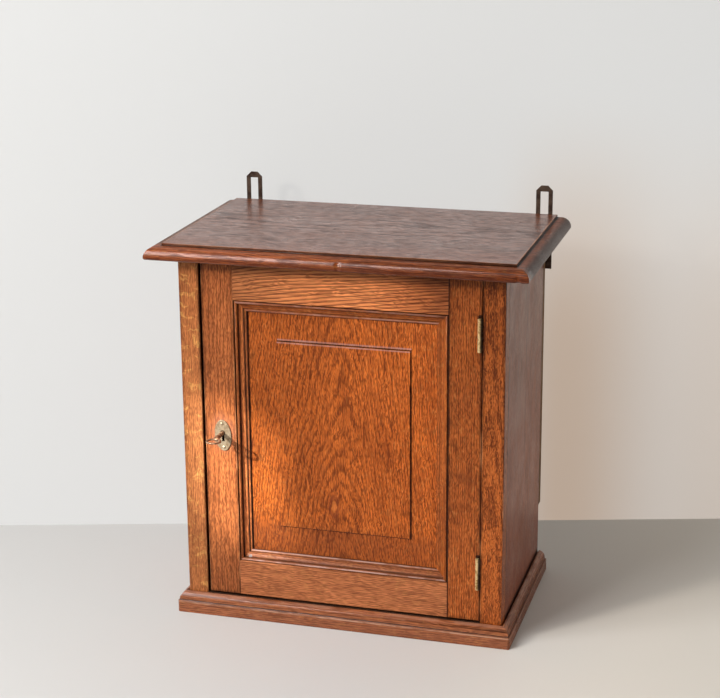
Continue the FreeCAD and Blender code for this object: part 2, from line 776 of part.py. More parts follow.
def keyhole(name, x, z, deep):
    half = s.keyhole_slot / 2
    slot = box(f"{name}_slot", (x - half, x + half), deep, (z - s.keyhole_drop, z))
    hole = rod(f"{name}_round", (x, deep[0], z), "+y", deep[1] - deep[0], s.keyhole_radius)
    return fuse(name, [slot, hole])


def make_lock_stile():
    blank = box("lock_stile_blank", (door_left, frame_left), (front, face_back), (door_bottom, door_top))
    tools = stile_joints("lock_stile", frame_left, -1)
    tools.append(keyhole("stile_keyhole", key_x, key_z, (front - OVERCUT, face_back + OVERCUT)))
    tools += holes("lock_stile_screws", lock_heads, small_screw)
    tools += escutcheon_pin_rods("stile_pin", s.screw_slack)
    node("door_lock_stile", cut("lock_stile_cut", blank, tools))


def make_hinge_stile():
    blank = box("hinge_stile_blank", (frame_right, door_right), (front, face_back), (door_bottom, door_top))
    tools = stile_joints("hinge_stile", frame_right, 1)
    for name, height in hinge_heights.items():
        half = s.hinge_length / 2 + s.mortise_clearance
        span = (height - half, height + half)
        depth = (front - OVERCUT, hinge_y + s.leaf_width + s.mortise_clearance)
        seat = box(f"{name}_seat", (door_leaf_back, door_right + OVERCUT), depth, span)
        hollow = rod(f"{name}_hollow", (hinge_x, hinge_y, span[0]), "+z", half * 2,
                     s.knuckle_radius + s.knuckle_relief)
        tools.append(fuse(f"{name}_mortise", [seat, hollow]))
        tools += holes(f"door_{name}", leaf_heads(height, door_leaf_face, "-x"), small_screw)
    node("door_hinge_stile", cut("hinge_stile_cut", blank, tools))


# Mortises and groove on the inner edge of a stile. The sign points from the edge into the wood.
def stile_joints(name, edge, sign):
    tools = []
    for rail in ("top", "bottom"):
        low, high = tenon_spans(rail)
        depth = edge + (s.tenon_length + s.mortise_spare) * sign
        across = ordered(edge - OVERCUT * sign, depth)
        tools.append(box(f"{name}_{rail}_mortise", across,
                         (panel_face - s.tenon_slack, groove_back + s.tenon_slack),
                         (low - s.tenon_slack, high + s.tenon_slack)))
    across = ordered(edge - OVERCUT * sign, edge + s.panel_groove * sign)
    tools.append(box(f"{name}_groove", across, (panel_face, groove_back),
                     (frame_bottom - s.panel_groove, frame_top + s.panel_groove)))
    return tools


def make_door_rails():
    spans = {"top": (frame_top, door_top), "bottom": (door_bottom, frame_bottom)}
    for name, (low, high) in spans.items():
        rail = box(f"door_{name}_blank", (frame_left, frame_right), (front, face_back), (low, high))
        tenons = box(f"door_{name}_tenons", (frame_left - s.tenon_length, frame_right + s.tenon_length),
                     (panel_face, groove_back), tenon_spans(name))
        whole = fuse(f"door_{name}_tenoned", [rail, tenons])
        depth = (low - OVERCUT, low + s.panel_groove)
        if name == "bottom":
            depth = (high - s.panel_groove, high + OVERCUT)
        groove = box(f"door_{name}_groove", (frame_left - OVERCUT, frame_right + OVERCUT),
                     (panel_face, groove_back), depth)
        node(f"door_{name}_rail", cut(f"door_{name}_cut", whole, [groove]))


def make_panel():
    tongue = s.panel_groove - s.panel_slack
    margin = box("panel_margin", (frame_left - tongue, frame_right + tongue),
                 (panel_face, panel_face + s.panel_edge), (frame_bottom - tongue, frame_top + tongue))
    inset = s.moulding_width + s.field_margin
    across = (frame_left + inset + s.field_shift, frame_right - inset + s.field_shift)
    deep = (panel_face - s.field_rise, panel_face + s.panel_edge)
    field = box("panel_field", across, deep, (frame_bottom + inset, frame_top - inset))
    node("door_panel", fuse("panel_whole", [margin, field]))


# Moulding round the panel: quirk, bead, cove and fillet, stepping down from the frame to the panel
def moulding_profile(edge, sign, frame_first):
    def at(across, depth, *arc):
        point = (edge + across * sign, front + depth)
        if frame_first:
            return (*point, *arc)
        return (point[1], point[0], *arc)

    turn = -sign if frame_first else sign
    bead_end = s.moulding_quirk + s.moulding_bead
    cove_end = bead_end + s.cove_width
    return [
        at(as_size(0), s.panel_recess),
        at(as_size(0), s.moulding_quirk_depth),
        at(s.moulding_quirk, s.moulding_quirk_depth),
        at(s.moulding_quirk, s.bead_depth),
        at(bead_end, s.bead_depth, s.bead_radius, -turn),
        at(bead_end, s.cove_start_depth),
        at(cove_end, s.cove_end_depth, s.cove_radius, turn),
        at(cove_end, s.fillet_depth),
        at(s.moulding_width, s.fillet_depth),
        at(s.moulding_width, s.panel_recess),
    ]


def make_mouldings():
    reach = s.moulding_width + OVERCUT
    for name, edge, sign in (("left", frame_left, 1), ("right", frame_right, -1)):
        profile = moulding_profile(edge, sign, True)
        strip = prism(f"moulding_{name}", "XY", [profile], frame_bottom, frame_top)
        near = edge - OVERCUT * sign
        far = edge + reach * sign
        ends = [
            [(near, frame_bottom - OVERCUT), (far, frame_bottom - OVERCUT), (far, frame_bottom + reach)],
            [(near, frame_top + OVERCUT), (far, frame_top + OVERCUT), (far, frame_top - reach)],
        ]
        cut_through(strip, "XZ", ends)
        node(f"panel_moulding_{name}", strip)
    for name, edge, sign in (("bottom", frame_bottom, 1), ("top", frame_top, -1)):
        profile = moulding_profile(edge, sign, False)
        strip = prism(f"moulding_{name}", "YZ", [profile], frame_left, frame_right)
        near = edge - OVERCUT * sign
        far = edge + reach * sign
        ends = [
            [(frame_left - OVERCUT, near), (frame_left - OVERCUT, far), (frame_left + reach, far)],
            [(frame_right + OVERCUT, near), (frame_right + OVERCUT, far), (frame_right - reach, far)],
        ]
        cut_through(strip, "XZ", ends)
        node(f"panel_moulding_{name}", strip)


# Butt hinges: five knuckles, three on the frame leaf and two on the door leaf
def make_leaf(name, height, faces, turn, screws):
    foot = height - s.hinge_length / 2
    pitch = s.hinge_length / KNUCKLES
    plate = box(f"{name}_plate", faces, (hinge_y + s.leaf_start, hinge_y + s.leaf_width),
                (foot, foot + s.hinge_length))
    things = [plate]
    for i in range(turn, KNUCKLES, 2):
        low = foot + pitch * i + s.knuckle_gap / 2
        high = foot + pitch * (i + 1) - s.knuckle_gap / 2
        things.append(box(f"{name}_tab_{i}", faces, (hinge_y, hinge_y + s.leaf_start), (low, high)))
        knuckle_foot = (hinge_x, hinge_y, low)
        things.append(rod(f"{name}_knuckle_{i}", knuckle_foot, "+z", high - low, s.knuckle_radius))
    whole = fuse(f"{name}_joined", things)
    bore = rod(f"{name}_bore", (hinge_x, hinge_y, foot - OVERCUT), "+z", s.hinge_length + OVERCUT * 2,
               s.pin_radius + s.pin_clearance)
    return cut(f"{name}_cut", whole, [bore, *holes(f"{name}_screws", screws, small_screw)])


def make_hinges():
    frame_screws = []
    door_screws = []
    for name, height in hinge_heights.items():
        into_frame = leaf_heads(height, frame_leaf_face, "+x")
        into_door = leaf_heads(height, door_leaf_face, "-x")
        frame_leaf = make_leaf(f"{name}_frame", height, (frame_leaf_face, opening_right), 0, into_frame)
        door_leaf = make_leaf(f"{name}_door", height, (door_leaf_back, door_leaf_face), 1, into_door)
        node(f"{name}_hinge_frame_leaf", frame_leaf)
        node(f"{name}_hinge_door_leaf", door_leaf)
        foot = (hinge_x, hinge_y, height - s.hinge_length / 2)
        node(f"{name}_hinge_pin", rod(f"{name}_pin", foot, "+z", s.hinge_length, s.pin_radius))
        frame_screws += into_frame
        door_screws += into_door
    fastener_set("hinge_frame_screws", frame_screws, small_screw)
    fastener_set("hinge_door_screws", door_screws, small_screw)


# Keyhole plate: an oval that leans a little, turned about the key, on two round-headed pins
def lean(thing):
    tilt = -s.escutcheon_tilt
    turn = FreeCAD.Rotation(FreeCAD.Vector(0, 1, 0), tilt.value)
    thing.Placement = FreeCAD.Placement(FreeCAD.Vector(), turn)
    bind(thing, "Placement.Rotation.Angle", tilt)
    for letter, size in zip("xyz", (key_x, front, key_z)):
        bind(thing, f"Placement.Base.{letter}", size)


def escutcheon_pin_heights():
    middle = -s.escutcheon_drop
    return middle - s.escutcheon_pin_pitch / 2, middle + s.escutcheon_pin_pitch / 2


def escutcheon_pin_rods(name, slack):
    things = []
    for i, height in enumerate(escutcheon_pin_heights()):
        start = (as_size(0), -s.escutcheon_thickness, height)
        length = s.escutcheon_pin_length + slack
        shank = rod(f"{name}_{i}", start, "+y", length, s.escutcheon_pin_radius + slack)
        leaning = gather(f"{name}_lean_{i}", [shank])
        lean(leaning)
        things.append(leaning)
    return things


def make_escutcheon():
    body = doc.addObject("PartDesign::Body", "escutcheon_body")
    sketch = new_sketch(body, "escutcheon_outline", "XZ")
    half_wide = s.escutcheon_width / 2
    half_tall = s.escutcheon_height / 2
    draw_oval(sketch, (as_size(0), -s.escutcheon_drop), half_tall, half_wide, True)
    pad(body, sketch, -s.escutcheon_thickness, as_size(0), "XZ")
    doc.recompute()
    rim = [f"Edge{i}" for i, edge in enumerate(body.Shape.Edges, start=1)
           if edge.BoundBox.YMax < -s.escutcheon_thickness.value / 2]
    round_edges(body, rim, s.escutcheon_edge)
    lean(body)
    deep = (-s.escutcheon_thickness - OVERCUT, as_size(OVERCUT))
    hole = gather("plate_hole_lean", [keyhole("plate_hole", as_size(0), as_size(0), deep)])
    lean(hole)
    tools = [hole, *escutcheon_pin_rods("plate_pin", s.screw_slack)]
    node("escutcheon", cut("escutcheon_cut", body, tools))

    pins = []
    for i, height in enumerate(escutcheon_pin_heights()):
        start = (as_size(0), -s.escutcheon_thickness, height)
        shank = rod(f"pin_shank_{i}", start, "+y", s.escutcheon_pin_length, s.escutcheon_pin_radius)
        middle = along(start, "+y", s.pin_head_sphere - s.pin_head_height)
        dome = ball(f"pin_dome_{i}", middle, s.pin_head_sphere)
        room = rod(f"pin_room_{i}", start, "-y", s.pin_head_height + OVERCUT, s.pin_head_sphere)
        head = common(f"pin_head_{i}", dome, room)
        leaning = gather(f"pin_lean_{i}", [fuse(f"pin_{i}", [shank, head])])
        lean(leaning)
        pins.append(leaning)
    node("escutcheon_pins", gather("escutcheon_pin_pair", pins))


# Lock: a plate on the back of the door, a case on it, and a bolt that slides behind the face stile
def make_lock():
    ears = (lock_bottom - s.lock_ear, lock_top + s.lock_ear)
    plate = box("lock_plate_blank", (lock_left, lock_right), (face_back, lock_face), ears)
    tools = holes("lock_plate_screws", lock_heads, small_screw)
    tools.append(keyhole("lock_keyhole", key_x, key_z, (face_back - OVERCUT, lock_face + OVERCUT)))
    node("lock_plate", cut("lock_plate_cut", plate, tools))

    shell = box("lock_shell", (lock_left, lock_right), (lock_face, lock_rear), (lock_bottom, lock_top))
    room = box("lock_room", (lock_left + s.lock_wall, lock_right - s.lock_wall),
               (lock_face - OVERCUT, lock_inner_rear), (lock_bottom + s.lock_wall, lock_top - s.lock_wall))
    bolt_low = key_z + s.bolt_rise
    bolt_high = bolt_low + s.bolt_height
    mouth = box("bolt_mouth", (lock_left - OVERCUT, lock_left + s.lock_wall + OVERCUT),
                (lock_face - OVERCUT, lock_inner_rear),
                (bolt_low - s.bolt_clearance, bolt_high + s.bolt_clearance))
    seat = rod("post_seat", (key_x, lock_inner_rear - OVERCUT, key_z), "+y", s.lock_wall + OVERCUT * 2,
               s.post_radius + s.screw_slack)
    node("lock_case", cut("lock_case_cut", shell, [fuse("lock_hollow", [room, mouth]), seat]))

    post_start = (key_x, lock_rear - s.post_length, key_z)
    node("lock_post", rod("lock_post_rod", post_start, "+y", s.post_length, s.post_radius))

    deep = (lock_face + s.bolt_clearance, lock_inner_rear - s.bolt_clearance)
    tail_end = key_x + s.talon_right + s.bolt_tail
    bar = box("bolt_bar", (door_left + s.bolt_setback, tail_end), deep, (bolt_low, bolt_high))
    talon = box("bolt_talon", (key_x - s.talon_left, key_x + s.talon_right),
                (deep[0] - OVERCUT, deep[1] + OVERCUT), (bolt_low - OVERCUT, bolt_low + s.talon_depth))
    node("lock_bolt", cut("bolt_cut", bar, [talon]))

    # The spring is a bowed strip: its ends bear on the top of the case and its middle nears the bolt
    ceiling = lock_top - s.lock_wall
    half = s.spring_length / 2
    strip = [
        (key_x - half, ceiling - s.spring_thickness),
        (key_x, ceiling - s.spring_rise - s.spring_thickness, s.spring_radius, 1),
        (key_x + half, ceiling - s.spring_thickness, s.spring_radius, 1),
        (key_x + half, ceiling),
        (key_x, ceiling - s.spring_rise, s.spring_radius, -1),
        (key_x - half, ceiling, s.spring_radius, -1),
    ]
    node("lock_spring", prism("spring_strip", "XZ", [strip], *deep))
    fastener_set("lock_screws", lock_heads, small_screw)


# Key: a nearly round bow lying flat, a shank that tapers to a bored barrel, and a bit that points to the right
def make_key():
    bow_middle = front - s.key_reach + s.bow_length / 2
    body = doc.addObject("PartDesign::Body", "key_bow")
    sketch = new_sketch(body, "bow_outline", "XY")
    half_wide = s.bow_width / 2
    half_long = s.bow_length / 2
    draw_oval(sketch, (key_x, bow_middle), half_wide, half_long, False)
    draw_oval(sketch, (key_x, bow_middle), half_wide - s.bow_ring, half_long - s.bow_ring, False)
    pad(body, sketch, key_z - s.bow_thickness / 2, key_z + s.bow_thickness / 2, "XY")
    doc.recompute()
    rims = [f"Edge{i}" for i, edge in enumerate(body.Shape.Edges, start=1)
            if edge.BoundBox.ZLength < FLAT]
    round_edges(body, rims, s.bow_rounding)

    barrel_start = bow_middle + half_long - s.bow_root
    barrel_end = lock_inner_rear - s.bit_clearance
    start = (key_x, barrel_start, key_z)
    barrel = rod("key_barrel", start, "+y", barrel_end - barrel_start, s.barrel_radius)
    shank = taper("key_shank", start, "+y", s.shank_length, s.shank_radius, s.barrel_radius)
    bit_span = (lock_face + s.bit_clearance, barrel_end)
    half = s.bit_thickness / 2
    bit = box("key_bit", (key_x, key_x + s.bit_radius), bit_span, (key_z - half, key_z + half))
    whole = fuse("key_whole", [body, barrel, shank, bit])
    bore = rod("key_bore", (key_x, barrel_end - s.barrel_bore, key_z), "+y", s.barrel_bore + OVERCUT,
               s.post_radius + s.post_clearance)
    middle = (bit_span[0] + bit_span[1]) / 2
    ward = box("key_ward", (key_x + s.bit_radius - s.ward_depth, key_x + s.bit_radius + OVERCUT),
               (middle - s.ward_width / 2, middle + s.ward_width / 2),
               (key_z - half - OVERCUT, key_z + half + OVERCUT))
    node("key", cut("key_cut", whole, [bore, ward]))


# Hanging plates: flat iron with cut corners and an upright slot, standing above the top board
def make_hanging_plates():
    heads = []
    for side, centre in plate_centres.items():
        half = s.plate_width / 2
        shoulder = plate_top - s.plate_chamfer
        outline = [
            (centre - half, plate_foot),
            (centre + half, plate_foot),
            (centre + half, shoulder),
            (centre + half - s.plate_chamfer, plate_top),
            (centre - half + s.plate_chamfer, plate_top),
            (centre - half, shoulder),
        ]
        slot_half = s.plate_slot_width / 2
        slot_top = plate_top - s.plate_slot_margin
        slot_foot = slot_top - s.plate_slot_length
        slot = [
            (centre - slot_half, slot_foot),
            (centre + slot_half, slot_foot),
            (centre + slot_half, slot_top),
            (centre - slot_half, slot_top),
        ]
        strip = prism(f"{side}_plate", "XZ", [outline, slot], back, plate_rear)
        bores = holes(f"{side}_plate_screws", plate_heads(side), plate_screw)
        node(f"hanging_plate_{side}", cut(f"{side}_plate_drilled", strip, bores))
        heads += plate_heads(side)
    fastener_set("hanging_plate_screws", heads, plate_screw)


def make_case_fasteners():
    fastener_set("top_board_screws", top_heads(front_rail) + top_heads(rear_rail), top_screw)
    fastener_set("shelf_cleat_screws", cleat_heads("left") + cleat_heads("right"), cleat_screw)
    nails = []
    for index in range(len(BACK_BOARDS)):
        nails += board_heads(index, nail_rows)
    fastener_set("back_nails", nails, nail)


def write_parts():
    doc.recompute()
    for thing in doc.Objects:
        if "Invalid" in thing.State or "Error" in thing.State:
            raise ValueError(f"{thing.Label}: {thing.State}")
    os.makedirs("parts", exist_ok=True)
    for thing in nodes:
        shape = thing.Shape
        if shape.isNull() or not shape.isValid() or not shape.Solids:
            raise ValueError(f"{thing.Label}: no valid solid")
    for thing in nodes:
        thing.Shape.exportStep(f"parts/{thing.Label}.step")
    print(len(nodes), "nodes written")


make_top_board()
make_case()
make_plinth()
make_back()
make_shelf()
make_lock_stile()
make_hinge_stile()
make_door_rails()
make_panel()
make_mouldings()
make_hinges()
make_escutcheon()
make_lock()
make_key()
make_hanging_plates()
make_case_fasteners()
write_parts()
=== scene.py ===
# %% [markdown]
# # An oak wall cabinet
# The imported model is the fixed frame of this lesson. It holds every board, hinge and lock piece at
# its real size, and the script dresses those pieces without moving any of them. The first cell loads
# the frame and notes which body each piece moves with.

# %% Load the frame
import json
import math

import bmesh
import bpy
from mathutils import Matrix, Vector, noise


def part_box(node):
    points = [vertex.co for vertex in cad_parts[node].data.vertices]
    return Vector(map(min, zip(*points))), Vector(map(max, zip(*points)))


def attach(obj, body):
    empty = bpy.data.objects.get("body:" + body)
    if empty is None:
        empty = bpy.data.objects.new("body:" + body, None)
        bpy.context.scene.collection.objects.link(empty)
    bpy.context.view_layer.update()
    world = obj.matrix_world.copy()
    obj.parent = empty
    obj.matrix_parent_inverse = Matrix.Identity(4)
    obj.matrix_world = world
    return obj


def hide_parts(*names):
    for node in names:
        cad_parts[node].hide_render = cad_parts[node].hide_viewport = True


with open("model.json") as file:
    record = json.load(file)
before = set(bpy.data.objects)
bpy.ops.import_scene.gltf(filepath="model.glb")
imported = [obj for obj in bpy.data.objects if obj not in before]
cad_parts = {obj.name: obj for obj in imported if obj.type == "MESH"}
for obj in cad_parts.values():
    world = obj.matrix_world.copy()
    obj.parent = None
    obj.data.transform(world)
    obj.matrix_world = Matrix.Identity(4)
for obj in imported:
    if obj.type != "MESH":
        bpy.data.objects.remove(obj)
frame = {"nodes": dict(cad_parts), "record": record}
NODES, RECORD = frame["nodes"], frame["record"]
BODY_OF = {node: body for body, nodes in RECORD["behaviour"]["bodies"].items() for node in nodes}
MM = 0.001
SIDEWAYS, BACKWARD, UP = 0, 1, 2
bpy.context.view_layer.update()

# %% [markdown]
# The camera stands in front of the cabinet, a little to its right and above it, as a person would
# who looks down on it from a few steps away. A long lens keeps the uprights almost parallel. The
# view is described by where the camera stands, the point it looks at and a half degree of roll,
# because a hand-held camera is never quite level.

# %% Camera
CAMERA_PLACE = Vector((0.5845, -2.0487, 0.9723))
CAMERA_TARGET = Vector((0.0204, -0.1050, 0.3863))
CAMERA_ROLL = math.radians(0.52)
LENS_MM = 89.87
VIEW_SHIFT = (0.0065, -0.0308)

scene = bpy.context.scene
camera_data = bpy.data.cameras.new("camera")
camera_data.lens = LENS_MM
camera_data.shift_x, camera_data.shift_y = VIEW_SHIFT
camera = bpy.data.objects.new("camera", camera_data)
scene.collection.objects.link(camera)
look = (CAMERA_TARGET - CAMERA_PLACE).to_track_quat("-Z", "Y").to_matrix().to_4x4()
camera.matrix_world = Matrix.Translation(CAMERA_PLACE) @ look @ Matrix.Rotation(-CAMERA_ROLL, 4, "Z")
scene.camera = camera
print("camera distance:", round((CAMERA_TARGET - CAMERA_PLACE).length, 3))

# %% [markdown]
# Materials are node trees, and most of their nodes only do sums. A few helpers make such a node,
# wire its inputs and hand back its output, so that a finish can be written down like a formula. An
# input may be a number, a colour or the output of another node, and the new node goes into the tree
# of the nodes that it is wired to.

# %% Sums as nodes
def feed(socket, value):
    if isinstance(value, bpy.types.NodeSocket):
        socket.id_data.links.new(value, socket)
    else:
        socket.default_value = value


def wired(kind, *values, at=(0, 1, 2, 3, 4), **settings):
    tree = next(value.id_data for value in values if isinstance(value, bpy.types.NodeSocket))
    node = tree.nodes.new(kind)
    for label, setting in settings.items():
        setattr(node, label, setting)
    for index, value in zip(at, values):
        feed(node.inputs[index], value)
    return node


def calc(operation, *values):
    return wired("ShaderNodeMath", *values, operation=operation).outputs[0]


def times(product, *factors):
    for factor in factors:
        product = calc("MULTIPLY", product, factor)
    return product


def most(largest, *others):
    for other in others:
        largest = calc("MAXIMUM", largest, other)
    return largest


def vector_calc(operation, *values, result="Vector"):
    return wired("ShaderNodeVectorMath", *values, operation=operation).outputs[result]


def split(vector):
    return wired("ShaderNodeSeparateXYZ", vector).outputs


def join(*parts):
    return wired("ShaderNodeCombineXYZ", *parts).outputs[0]


print("sum helpers ready")

# %% [markdown]
# Some more helpers draw softly. A grade runs smoothly from one value to another between two places, a
# fall runs down to nothing, a blend mixes two colours, and a cloud is noise whose lumps have a size in
# millimetres. Effects that many materials share are node groups, so two helpers make a group and place
# it in a material.

# %% Grades, blends and groups
NUMBER, COLOUR, VECTOR = "NodeSocketFloat", "NodeSocketColor", "NodeSocketVector"
MIX_COLOURS, MIXED_COLOUR = (0, 6, 7), 2


def grade(value, low, high, first=0.0, last=1.0):
    values = (value, low, high, first, last)
    return wired("ShaderNodeMapRange", *values, interpolation_type="SMOOTHSTEP").outputs[0]


def fall(value, low, high, first=1.0):
    return grade(value, low, high, first, 0.0)


def blend(factor, first, second, mode="MIX"):
    node = wired("ShaderNodeMix", factor, first, second, at=MIX_COLOURS, data_type="RGBA", blend_type=mode)
    return node.outputs[MIXED_COLOUR]


def stained_by(colour, stain):
    return blend(1.0, colour, stain, "MULTIPLY")


def cloud(place, spread, detail=2.0, roughness=0.5):
    """Soft noise between 0 and 1 whose lumps are about as large as spread, in millimetres."""
    node = wired("ShaderNodeTexNoise", vector_calc("MULTIPLY", place, tuple(1 / size for size in spread)))
    for label, value in (("Scale", 1.0), ("Detail", detail), ("Roughness", roughness)):
        feed(node.inputs[label], value)
    return node.outputs[0]


def new_group(name, inputs, outputs):
    tree = bpy.data.node_groups.new(name, "ShaderNodeTree")
    for label, value in inputs.items():
        kind = {3: VECTOR, 4: COLOUR}[len(value)] if isinstance(value, tuple) else NUMBER
        tree.interface.new_socket(name=label, in_out="INPUT", socket_type=kind).default_value = value
    for label in outputs:
        kind = COLOUR if label == "Colour" else NUMBER
        tree.interface.new_socket(name=label, in_out="OUTPUT", socket_type=kind)
    return tree, tree.nodes.new("NodeGroupInput").outputs, tree.nodes.new("NodeGroupOutput").inputs


def use_group(tree, group, **values):
    node = tree.nodes.new("ShaderNodeGroup")
    node.node_tree = group
    for label, value in values.items():
        feed(node.inputs[label.capitalize()], value)
    return node.outputs


print("drawing helpers ready")

# %% [markdown]
# The world gives soft light from all round. What the camera sees of it is a plain pale grey. Polished
# wood and metal mirror that grey from behind the cabinet and a dimmer room from in front of it, which
# keeps the colour of the door deep. The Light Path node tells these looks apart.

# %% World
SOFT_LIGHT, SOFT_STRENGTH = (1, 0.97, 0.93, 1), 0.26
PALE_GREY = (0.80, 0.80, 0.79, 1)
ROOM_DIM, ROOM_FROM, ROOM_TO = 0.08, -0.1, 0.6

scene.view_settings.view_transform = "Standard"


def looks(tree):
    """Masks for a look at the thing, straight or in a mirror, and for a look by the camera alone."""
    path = tree.nodes.new("ShaderNodeLightPath").outputs
    by_camera = path["Is Camera Ray"]
    return most(path["Is Glossy Ray"], path["Is Transmission Ray"], by_camera), by_camera


def choose(factor, first, second):
    return wired("ShaderNodeMixShader", factor, first, second).outputs[0]


world = bpy.data.worlds.new("studio")
scene.world = world
world.use_nodes = True
sky = world.node_tree
soft_light = sky.nodes["Background"]
feed(soft_light.inputs["Color"], SOFT_LIGHT)
feed(soft_light.inputs["Strength"], SOFT_STRENGTH)
pale = sky.nodes.new("ShaderNodeBackground")
feed(pale.inputs["Color"], PALE_GREY)
seen, by_camera = looks(sky)
backward = split(sky.nodes.new("ShaderNodeTexCoord").outputs["Generated"])[BACKWARD]
room = grade(backward, ROOM_FROM, ROOM_TO, ROOM_DIM, 1.0)
feed(pale.inputs["Strength"], most(room, by_camera))
feed(sky.nodes["World Output"].inputs[0], choose(seen, soft_light.outputs[0], pale.outputs[0]))
print("world:", world.name, "strength", SOFT_STRENGTH)

# %% [markdown]
# The stage is a plain pale floor with a pale wall behind it, each a single square face. The floor is
# painted a little warmer and lighter at the right, painted light that lifts the shadow there. A mirror
# image of its front part is dim, as the floor of a room is away from the window, so that the lower door
# doesn't go grey.

# %% Floor
FLOOR_COLOUR, LIT_WARM_FLOOR = (0.70, 0.695, 0.685, 1), (0.86, 0.80, 0.72, 1)
DIM_FLOOR = (0.06, 0.055, 0.05, 1)
STAGE_HALF = 6
PAINT_ROUGHNESS = 0.75


def stage_sheet(name, place):
    bm = bmesh.new()
    bmesh.ops.create_grid(bm, x_segments=1, y_segments=1, size=STAGE_HALF)
    bmesh.ops.transform(bm, matrix=place, verts=bm.verts)
    data = bpy.data.meshes.new(name)
    bm.to_mesh(data)
    bm.free()
    sheet = bpy.data.objects.new(name, data)
    scene.collection.objects.link(sheet)
    return sheet


def new_material(name):
    material = bpy.data.materials.new(name)
    material.use_nodes = True
    return material, material.node_tree, material.node_tree.nodes["Principled BSDF"]


def paint(name, sheet, colour):
    material, tree, shader = new_material(name)
    feed(shader.inputs["Base Color"], colour)
    feed(shader.inputs["Roughness"], PAINT_ROUGHNESS)
    sheet.data.materials.append(material)
    return tree, shader


floor = stage_sheet("floor", Matrix.Identity(4))
tree, floor_shader = paint("floor_paint", floor, FLOOR_COLOUR)
sideways, backward, _ = split(tree.nodes.new("ShaderNodeTexCoord").outputs["Object"])
mirrored = tree.nodes.new("ShaderNodeLightPath").outputs["Is Glossy Ray"]
dimmed = times(mirrored, fall(backward, -0.9, -0.3))
# Painted light: the floor grows warmer and lighter to the right.
warm_lift = blend(grade(sideways, 0.0, 0.4), FLOOR_COLOUR, LIT_WARM_FLOOR)
feed(floor_shader.inputs["Base Color"], blend(dimmed, warm_lift, DIM_FLOOR))
print("stage:", floor.name)

# %% [markdown]
# The wall only shows to a camera in front of it: light passes through it, and so does a look from
# behind, so that the back of the cabinet can be seen and is lit. It glows a little by itself, which
# keeps it pale without more light on the cabinet. Low down at the right the glow is warmer, a painted
# warm bounce light, and beside the cabinet it is deepest, a painted shadow as where a cabinet keeps the
# daylight off a wall.

# %% Wall
WALL_COLOUR = (0.66, 0.66, 0.655, 1)
WALL_GLOW, WARM_GLOW = (0.85, 0.85, 0.84, 1), (0.82, 0.70, 0.60, 1)
SHADED_GLOW, GLOW_SHARE = (0.70, 0.54, 0.42, 1), 0.6
WALL_TURN = math.atan2(0.268, 0.922)
WALL_DISTANCE = 0.235

upright = Matrix.Translation((0, WALL_DISTANCE, 0)) @ Matrix.Rotation(math.radians(90), 4, "X")
wall = stage_sheet("wall", Matrix.Rotation(WALL_TURN, 4, "Z") @ upright)
tree, wall_shader = paint("wall_paint", wall, WALL_COLOUR)
sideways, _, height = split(tree.nodes.new("ShaderNodeTexCoord").outputs["Object"])
low = fall(height, 0.28, 0.62)
# Painted light: a warm bounce low down at the right, and a painted shadow beside the cabinet.
warm_bounce = times(low, grade(sideways, -0.05, 0.55))
beside = times(low, grade(sideways, 0.1, 0.2), fall(sideways, 0.21, 0.36))
glow = tree.nodes.new("ShaderNodeEmission")
feed(glow.inputs["Color"], blend(beside, blend(warm_bounce, WALL_GLOW, WARM_GLOW), SHADED_GLOW))
pale_wall = choose(GLOW_SHARE, wall_shader.outputs[0], glow.outputs[0])
from_front = calc("SUBTRACT", 1.0, tree.nodes.new("ShaderNodeNewGeometry").outputs["Backfacing"])
nothing = tree.nodes.new("ShaderNodeBsdfTransparent").outputs[0]
shown = times(looks(tree)[0], from_front)
feed(tree.nodes["Material Output"].inputs[0], choose(shown, nothing, pale_wall))
print("stage:", wall.name)

# %% [markdown]
# The light comes from the left of the camera and from above it. A large pale window gives most of
# it, and its mirror image draws the soft streaks along the nose of the top, the beads and the plinth.
# A smaller, warmer lamp beside it makes the band of shadow under the top board. Two narrow beams, one
# above the other, pick out the lock and the wood below it, so that the key draws its own shadow. A dim
# lamp near the floor lights the back. Together the lamps are about as strong as the level at which a
# colour renders as it is written.

# %% Lamps
KEY_AXIS = sum((Vector(corner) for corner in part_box("lock_post")), Vector()) / 2
WARM, DAYLIGHT, SUNLIGHT = (1.0, 0.93, 0.82), (0.94, 0.97, 1.0), (0.92, 0.98, 1.0)
CASE_MIDDLE, BACK_MIDDLE = (0, -0.1, 0.24), (0, 0.14, 0.25)
SUN_PLACE = (-1.43, -1.88, 1.45)
BESIDE_LOCK, BELOW_LOCK = KEY_AXIS + Vector((0.028, 0, -0.028)), KEY_AXIS + Vector((0.034, 0, -0.108))
BEAM_WIDTH = math.radians(3.0)
# Each lamp: its kind, place, target, power in watts, colour, and the size of its source in metres.
LAMPS = {
    "sky_window": ("AREA", (-1.02, -1.30, 1.92), CASE_MIDDLE, 40, DAYLIGHT, 1.3),
    "low_window": ("AREA", SUN_PLACE, CASE_MIDDLE, 26, WARM, 0.3),
    "upper_beam": ("SPOT", SUN_PLACE, BESIDE_LOCK, 510, SUNLIGHT, 0.015),
    "lower_beam": ("SPOT", SUN_PLACE, BELOW_LOCK, 580, SUNLIGHT, 0.015),
    "back_light": ("AREA", (0.25, 1.7, 0.2), BACK_MIDDLE, 7, WARM, 0.8),
}
for name, (kind, place, target, power, colour, size) in LAMPS.items():
    data = bpy.data.lights.new(name, kind)
    data.energy = power
    data.color = colour
    if kind == "SPOT":
        data.spot_size = BEAM_WIDTH
        data.spot_blend = 1.0
        data.shadow_soft_size = size
    else:
        data.size = size
    lamp = bpy.data.objects.new(name, data)
    scene.collection.objects.link(lamp)
    lamp.location = place
    lamp.rotation_euler = (Vector(target) - Vector(place)).to_track_quat("-Z", "Y").to_euler()
print("lamps:", len(LAMPS), "key axis:", [round(v, 4) for v in KEY_AXIS])

